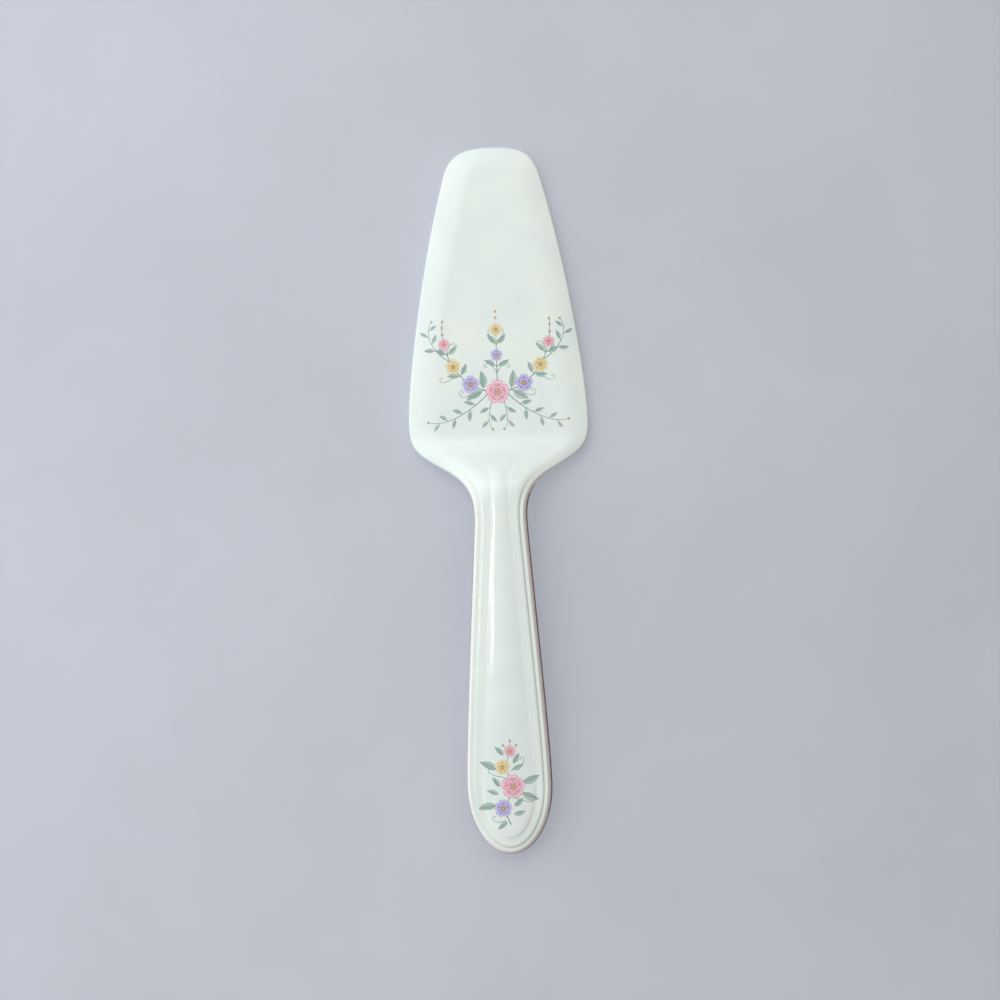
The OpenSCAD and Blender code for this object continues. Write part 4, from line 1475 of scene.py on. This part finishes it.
def print_on(piece, make_tree, tree_name, material, lift, flower, **inputs):
    """Turns a layout into the plain mesh that a tree makes of it, as a thin closed film."""
    tree = bpy.data.node_groups.get(tree_name) or make_tree(tree_name)
    modifier = piece.modifiers.new("print", "NODES")
    modifier.node_group = tree
    inputs.update({"Glaze": bpy.data.objects["glaze_face"], "Lift": lift * MM, "Enamel": material})
    for item in tree.interface.items_tree:
        if item.in_out == "INPUT" and item.name in inputs:
            modifier[item.identifier] = inputs[item.name]
    film = piece.modifiers.new("film", "SOLIDIFY")
    film.thickness = flower.film_thickness
    film.offset = -1.0
    graph = bpy.context.evaluated_depsgraph_get()
    made = bpy.data.meshes.new_from_object(
        piece.evaluated_get(graph), preserve_all_data_layers=True, depsgraph=graph
    )
    piece.modifiers.clear()
    layout_mesh = piece.data
    piece.data = made
    bpy.data.meshes.remove(layout_mesh)
    if not made.polygons:
        raise RuntimeError(f"{piece.name}: the print has no faces")
    made.name = piece.name
    finished_mesh(made, FILM_SHARP_DEGREES)


def layouts(scene):
    """The two prints by the name of the place that they are on."""
    return {
        "blade": blade_layout(scene.server_sizes, scene.flower_sizes),
        "handle": handle_layout(scene.flower_sizes),
    }


def settle(piece, slot, *nodes):
    """Ties a piece to the body and hides the solids that it stands for."""
    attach(piece, BODY)
    if nodes:
        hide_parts(*nodes)


def print_motifs(scene, name, rows, motif, unit, copies, lift, material):
    """Prints a motif at each place of a layout and returns the piece, points carrying turn and size."""
    flower = scene.flower_sizes
    across, station, turn, size_share = np.array(rows).T
    half_length = scene.server_sizes.overall_length / 2.0
    points = np.column_stack((across, station - half_length, np.zeros_like(across)))
    marks = {"turn": np.radians(turn), "size": size_share * unit}
    piece = add_piece(name, new_mesh(name + "_layout", points, [], marks))
    own = {"Motif": motif, "Copies": copies, "Tone Seed": flower.tone_seed}
    print_on(piece, motif_tree, "Motifs On Glaze", material, lift, flower, **own)
    return piece


def print_stems(scene, name, stems, lift, material):
    """Prints the stems of a layout and returns the piece, points carrying half widths."""
    half_length = scene.server_sizes.overall_length / 2.0
    points, edges, halves = [], [], []
    for line, foot_width, end_width in stems:
        first = len(points)
        points += [(x, station - half_length, 0.0) for x, station in line]
        halves += (np.linspace(foot_width, end_width, len(line)) / 2.0).tolist()
        edges += [(first + step, first + step + 1) for step in range(len(line) - 1)]
    piece = add_piece(name, new_mesh(name + "_layout", points, [], {"half_width": halves}, edges))
    print_on(piece, stem_tree, "Stems On Glaze", material, lift, scene.flower_sizes)
    return piece


class SERVER_OT_clay(bpy.types.Operator):
    """Builds the fired clay, which shows as a thin line between the two coats of glaze"""

    bl_idname = "cake_server.clay"
    bl_label = "Fired Clay"

    def execute(self, context):
        size = context.scene.server_sizes
        surface = ServerSurface(size)
        upper, _ = surface.face_skin(size.glaze_thickness)
        lower, _ = surface.back_skin(size.glaze_thickness)
        piece = add_piece("fired_clay", solid_between("fired_clay", upper, lower, {}))
        piece.data.materials.append(clay_material(context.scene.finishes))
        settle(piece, "fired_clay", "clay_body")
        return {"FINISHED"}


class SERVER_OT_glaze(bpy.types.Operator):
    """Builds the coats of glaze on the face and on the underside"""

    bl_idname = "cake_server.glaze"
    bl_label = "Glaze"

    def execute(self, context):
        size = context.scene.server_sizes
        surface = ServerSurface(size)
        material = glaze_material(context.scene.finishes)
        for name, node, skin, bare_run, order in (
            ("glaze_face", "front_glaze", surface.face_skin, FACE_BARE_RUN, 1),
            ("glaze_back", "back_glaze", surface.back_skin, BACK_BARE_RUN, -1),
        ):
            skins, marks = [], []
            for coat in (0.0, size.glaze_thickness):
                places, insets = skin(coat)
                skins.append(places)
                marks.append(surface.border_marks(insets, bare_run))
            # The back has no grooves for glaze to pool in, and no painted shade
            if name == "glaze_back":
                marks[0]["pool"] = np.zeros_like(marks[0]["pool"])
            upper, lower = skins[::order]
            pairs = {label: [side[label] for side in marks[::order]] for label in marks[0]}
            piece = add_piece(name, solid_between(name, upper, lower, pairs))
            piece.data.materials.append(material)
            settle(piece, "cream_glaze", node)
        return {"FINISHED"}


class SERVER_OT_stems(bpy.types.Operator):
    """Draws the stems and tendrils of the two prints"""

    bl_idname = "cake_server.stems"
    bl_label = "Stems"

    def execute(self, context):
        scene = context.scene
        material = stem_material(scene.finishes)
        for where, layout in layouts(scene).items():
            piece = print_stems(scene, f"{where}_stems", layout.stems, STEM_LIFT, material)
            settle(piece, "green_enamel")
        return {"FINISHED"}


class SERVER_OT_leaves(bpy.types.Operator):
    """Prints the leaves on the blade and on the handle"""

    bl_idname = "cake_server.leaves"
    bl_label = "Leaves"

    def execute(self, context):
        scene = context.scene
        unit = scene.flower_sizes.leaf_length
        motif = leaf_motif("leaf_motif", scene.flower_sizes.leaf_width / unit)
        material = leaf_material(scene.finishes)
        for where, layout in layouts(scene).items():
            name = f"{where}_leaves"
            piece = print_motifs(scene, name, layout.leaves, motif, unit, 1, LEAF_LIFT, material)
            settle(piece, "green_enamel", f"{where}_green_enamel")
        bpy.data.objects.remove(motif)
        return {"FINISHED"}


class SERVER_OT_blossoms(bpy.types.Operator):
    """Prints the pink, lilac and yellow blossoms"""

    bl_idname = "cake_server.blossoms"
    bl_label = "Blossoms"

    def execute(self, context):
        scene = context.scene
        unit = scene.flower_sizes.blossom_radius
        petals = scene.flower_sizes.petal_count
        motif = petal_motif("petal_motif", petals)
        for colour in ("pink", "lilac", "yellow"):
            shades = [getattr(scene.finishes, colour + shade) for shade in ("", "_deep", "_pale")]
            material = petal_material(f"{colour}_petal_enamel", *shades)
            for where, layout in layouts(scene).items():
                name = f"{where}_{colour}_blossoms"
                rows = layout.blossoms[colour]
                piece = print_motifs(scene, name, rows, motif, unit, petals, BLOSSOM_LIFT, material)
                settle(piece, f"{colour}_enamel", f"{where}_{colour}_enamel")
        bpy.data.objects.remove(motif)
        return {"FINISHED"}


class SERVER_OT_eyes(bpy.types.Operator):
    """Prints the eyes of the blossoms and the berries"""

    bl_idname = "cake_server.eyes"
    bl_label = "Eyes and Berries"

    def execute(self, context):
        scene = context.scene
        flower = scene.flower_sizes
        material = berry_material(scene.finishes)
        eye = disc_motif("eye_motif", EYE_SHARE, EYE_DOTS)
        berry = disc_motif("berry_motif", 1.0)
        for where, layout in layouts(scene).items():
            for kind, rows, motif, unit, lift in (
                ("eyes", layout.eyes, eye, flower.blossom_radius, EYE_LIFT),
                ("berries", layout.berries, berry, flower.berry_radius, BERRY_LIFT),
            ):
                piece = print_motifs(scene, f"{where}_{kind}", rows, motif, unit, 1, lift, material)
                settle(piece, "yellow_enamel")
        for motif in (eye, berry):
            bpy.data.objects.remove(motif)
        return {"FINISHED"}


class SERVER_OT_studio(bpy.types.Operator):
    """Sets up the table, the lights and the camera"""

    bl_idname = "cake_server.studio"
    bl_label = "Studio"

    def execute(self, context):
        scene = context.scene
        self.add_table(scene)
        self.add_sky(scene)
        for name, power, *light in LIGHTS:
            self.add_light(name, getattr(scene.studio, power), *light)
        self.add_camera(scene)
        scene.view_settings.view_transform = "Standard"
        return {"FINISHED"}

    def add_table(self, scene):
        """A wide flat table just under the server."""
        reach, height = TABLE_REACH, -TABLE_GAP * MM
        corners = [(x * reach, y * reach, height) for x, y in ((-1, -1), (1, -1), (1, 1), (-1, 1))]
        mesh = new_mesh("table", corners, [(0, 1, 2, 3)], {})
        mesh.materials.append(table_material(scene.finishes))
        add_piece("table", mesh)

    def add_sky(self, scene):
        """Light from all round, cool from behind on the left and dim and warm from the right in front."""
        world = bpy.data.worlds.new("sky")
        world.use_nodes = True
        world.node_tree.nodes.clear()
        nodes = Nodes(world.node_tree)
        way = nodes.out("ShaderNodeTexCoord", "Generated")
        split = nodes.add("ShaderNodeSeparateXYZ", {"Vector": way}).outputs
        side = nodes.range(nodes.math("SUBTRACT", split["X"], split["Y"]), -SKY_SPAN, SKY_SPAN)
        sky = {"Color": nodes.mix(side, SKY_BRIGHT, SKY_DIM), "Strength": scene.studio.sky}
        surface = nodes.out("ShaderNodeBackground", "Background", sky)
        nodes.add("ShaderNodeOutputWorld", {"Surface": surface})
        scene.world = world

    def add_light(self, name, power, extent, place, colour, shadow, mirror_image):
        """A rectangular light that faces the server."""
        light = bpy.data.lights.new(name, "AREA")
        light.shape = "RECTANGLE"
        light.size, light.size_y = extent
        light.energy = power
        light.color = colour
        light.use_shadow = shadow
        lamp = bpy.data.objects.new(name, light)
        lamp.visible_glossy = mirror_image
        away = Vector(place).normalized()
        side = Vector((0.0, 1.0, 0.0)).cross(away).normalized()
        turn = Matrix((side, away.cross(side), away)).transposed()
        lamp.matrix_world = Matrix.Translation(place) @ turn.to_4x4()
        bpy.context.scene.collection.objects.link(lamp)

    def add_camera(self, scene):
        """A camera above the server, with the blade's tip at the top of its view."""
        studio = scene.studio
        data = bpy.data.cameras.new("camera")
        data.lens = studio.camera_lens
        data.clip_start = CAMERA_CLIP
        turn = (
            Matrix.Rotation(studio.camera_yaw, 4, "Y")
            @ Matrix.Rotation(studio.camera_pitch, 4, "X")
            @ Matrix.Rotation(studio.camera_roll, 4, "Z")
        )
        camera = bpy.data.objects.new("camera", data)
        back = turn @ Vector((0.0, 0.0, studio.camera_distance))
        camera.matrix_world = Matrix.Translation(Vector(studio.aim) + back) @ turn
        scene.collection.objects.link(camera)
        scene.camera = camera


OPERATORS = (
    SERVER_OT_clay,
    SERVER_OT_glaze,
    SERVER_OT_stems,
    SERVER_OT_leaves,
    SERVER_OT_blossoms,
    SERVER_OT_eyes,
    SERVER_OT_studio,
)
GROUPS = {
    "server_sizes": ServerSizes,
    "flower_sizes": FlowerSizes,
    "finishes": Finishes,
    "studio": Studio,
}


class SERVER_PT_panel(bpy.types.Panel):
    """Lists the sizes and colours of the server and the steps that build it"""

    bl_idname = "SERVER_PT_panel"
    bl_label = "Cake Server"
    bl_space_type = "VIEW_3D"
    bl_region_type = "UI"
    bl_category = "Cake Server"

    def draw(self, context):
        for operator in OPERATORS:
            self.layout.operator(operator.bl_idname)
        for label, group in GROUPS.items():
            box = self.layout.box()
            for name in group.__annotations__:
                box.prop(getattr(context.scene, label), name)


CLASSES = (*GROUPS.values(), *OPERATORS, SERVER_PT_panel)


def register():
    for cls in CLASSES:
        bpy.utils.register_class(cls)
    for label, group in GROUPS.items():
        setattr(bpy.types.Scene, label, PointerProperty(type=group))


def unregister():
    for label in GROUPS:
        delattr(bpy.types.Scene, label)
    for cls in reversed(CLASSES):
        bpy.utils.unregister_class(cls)


def main():
    """Builds every piece in order."""
    register()
    bpy.ops.cake_server.clay()
    bpy.ops.cake_server.glaze()
    bpy.ops.cake_server.stems()
    bpy.ops.cake_server.leaves()
    bpy.ops.cake_server.blossoms()
    bpy.ops.cake_server.eyes()
    bpy.ops.cake_server.studio()


if __name__ == "__main__":
    main()
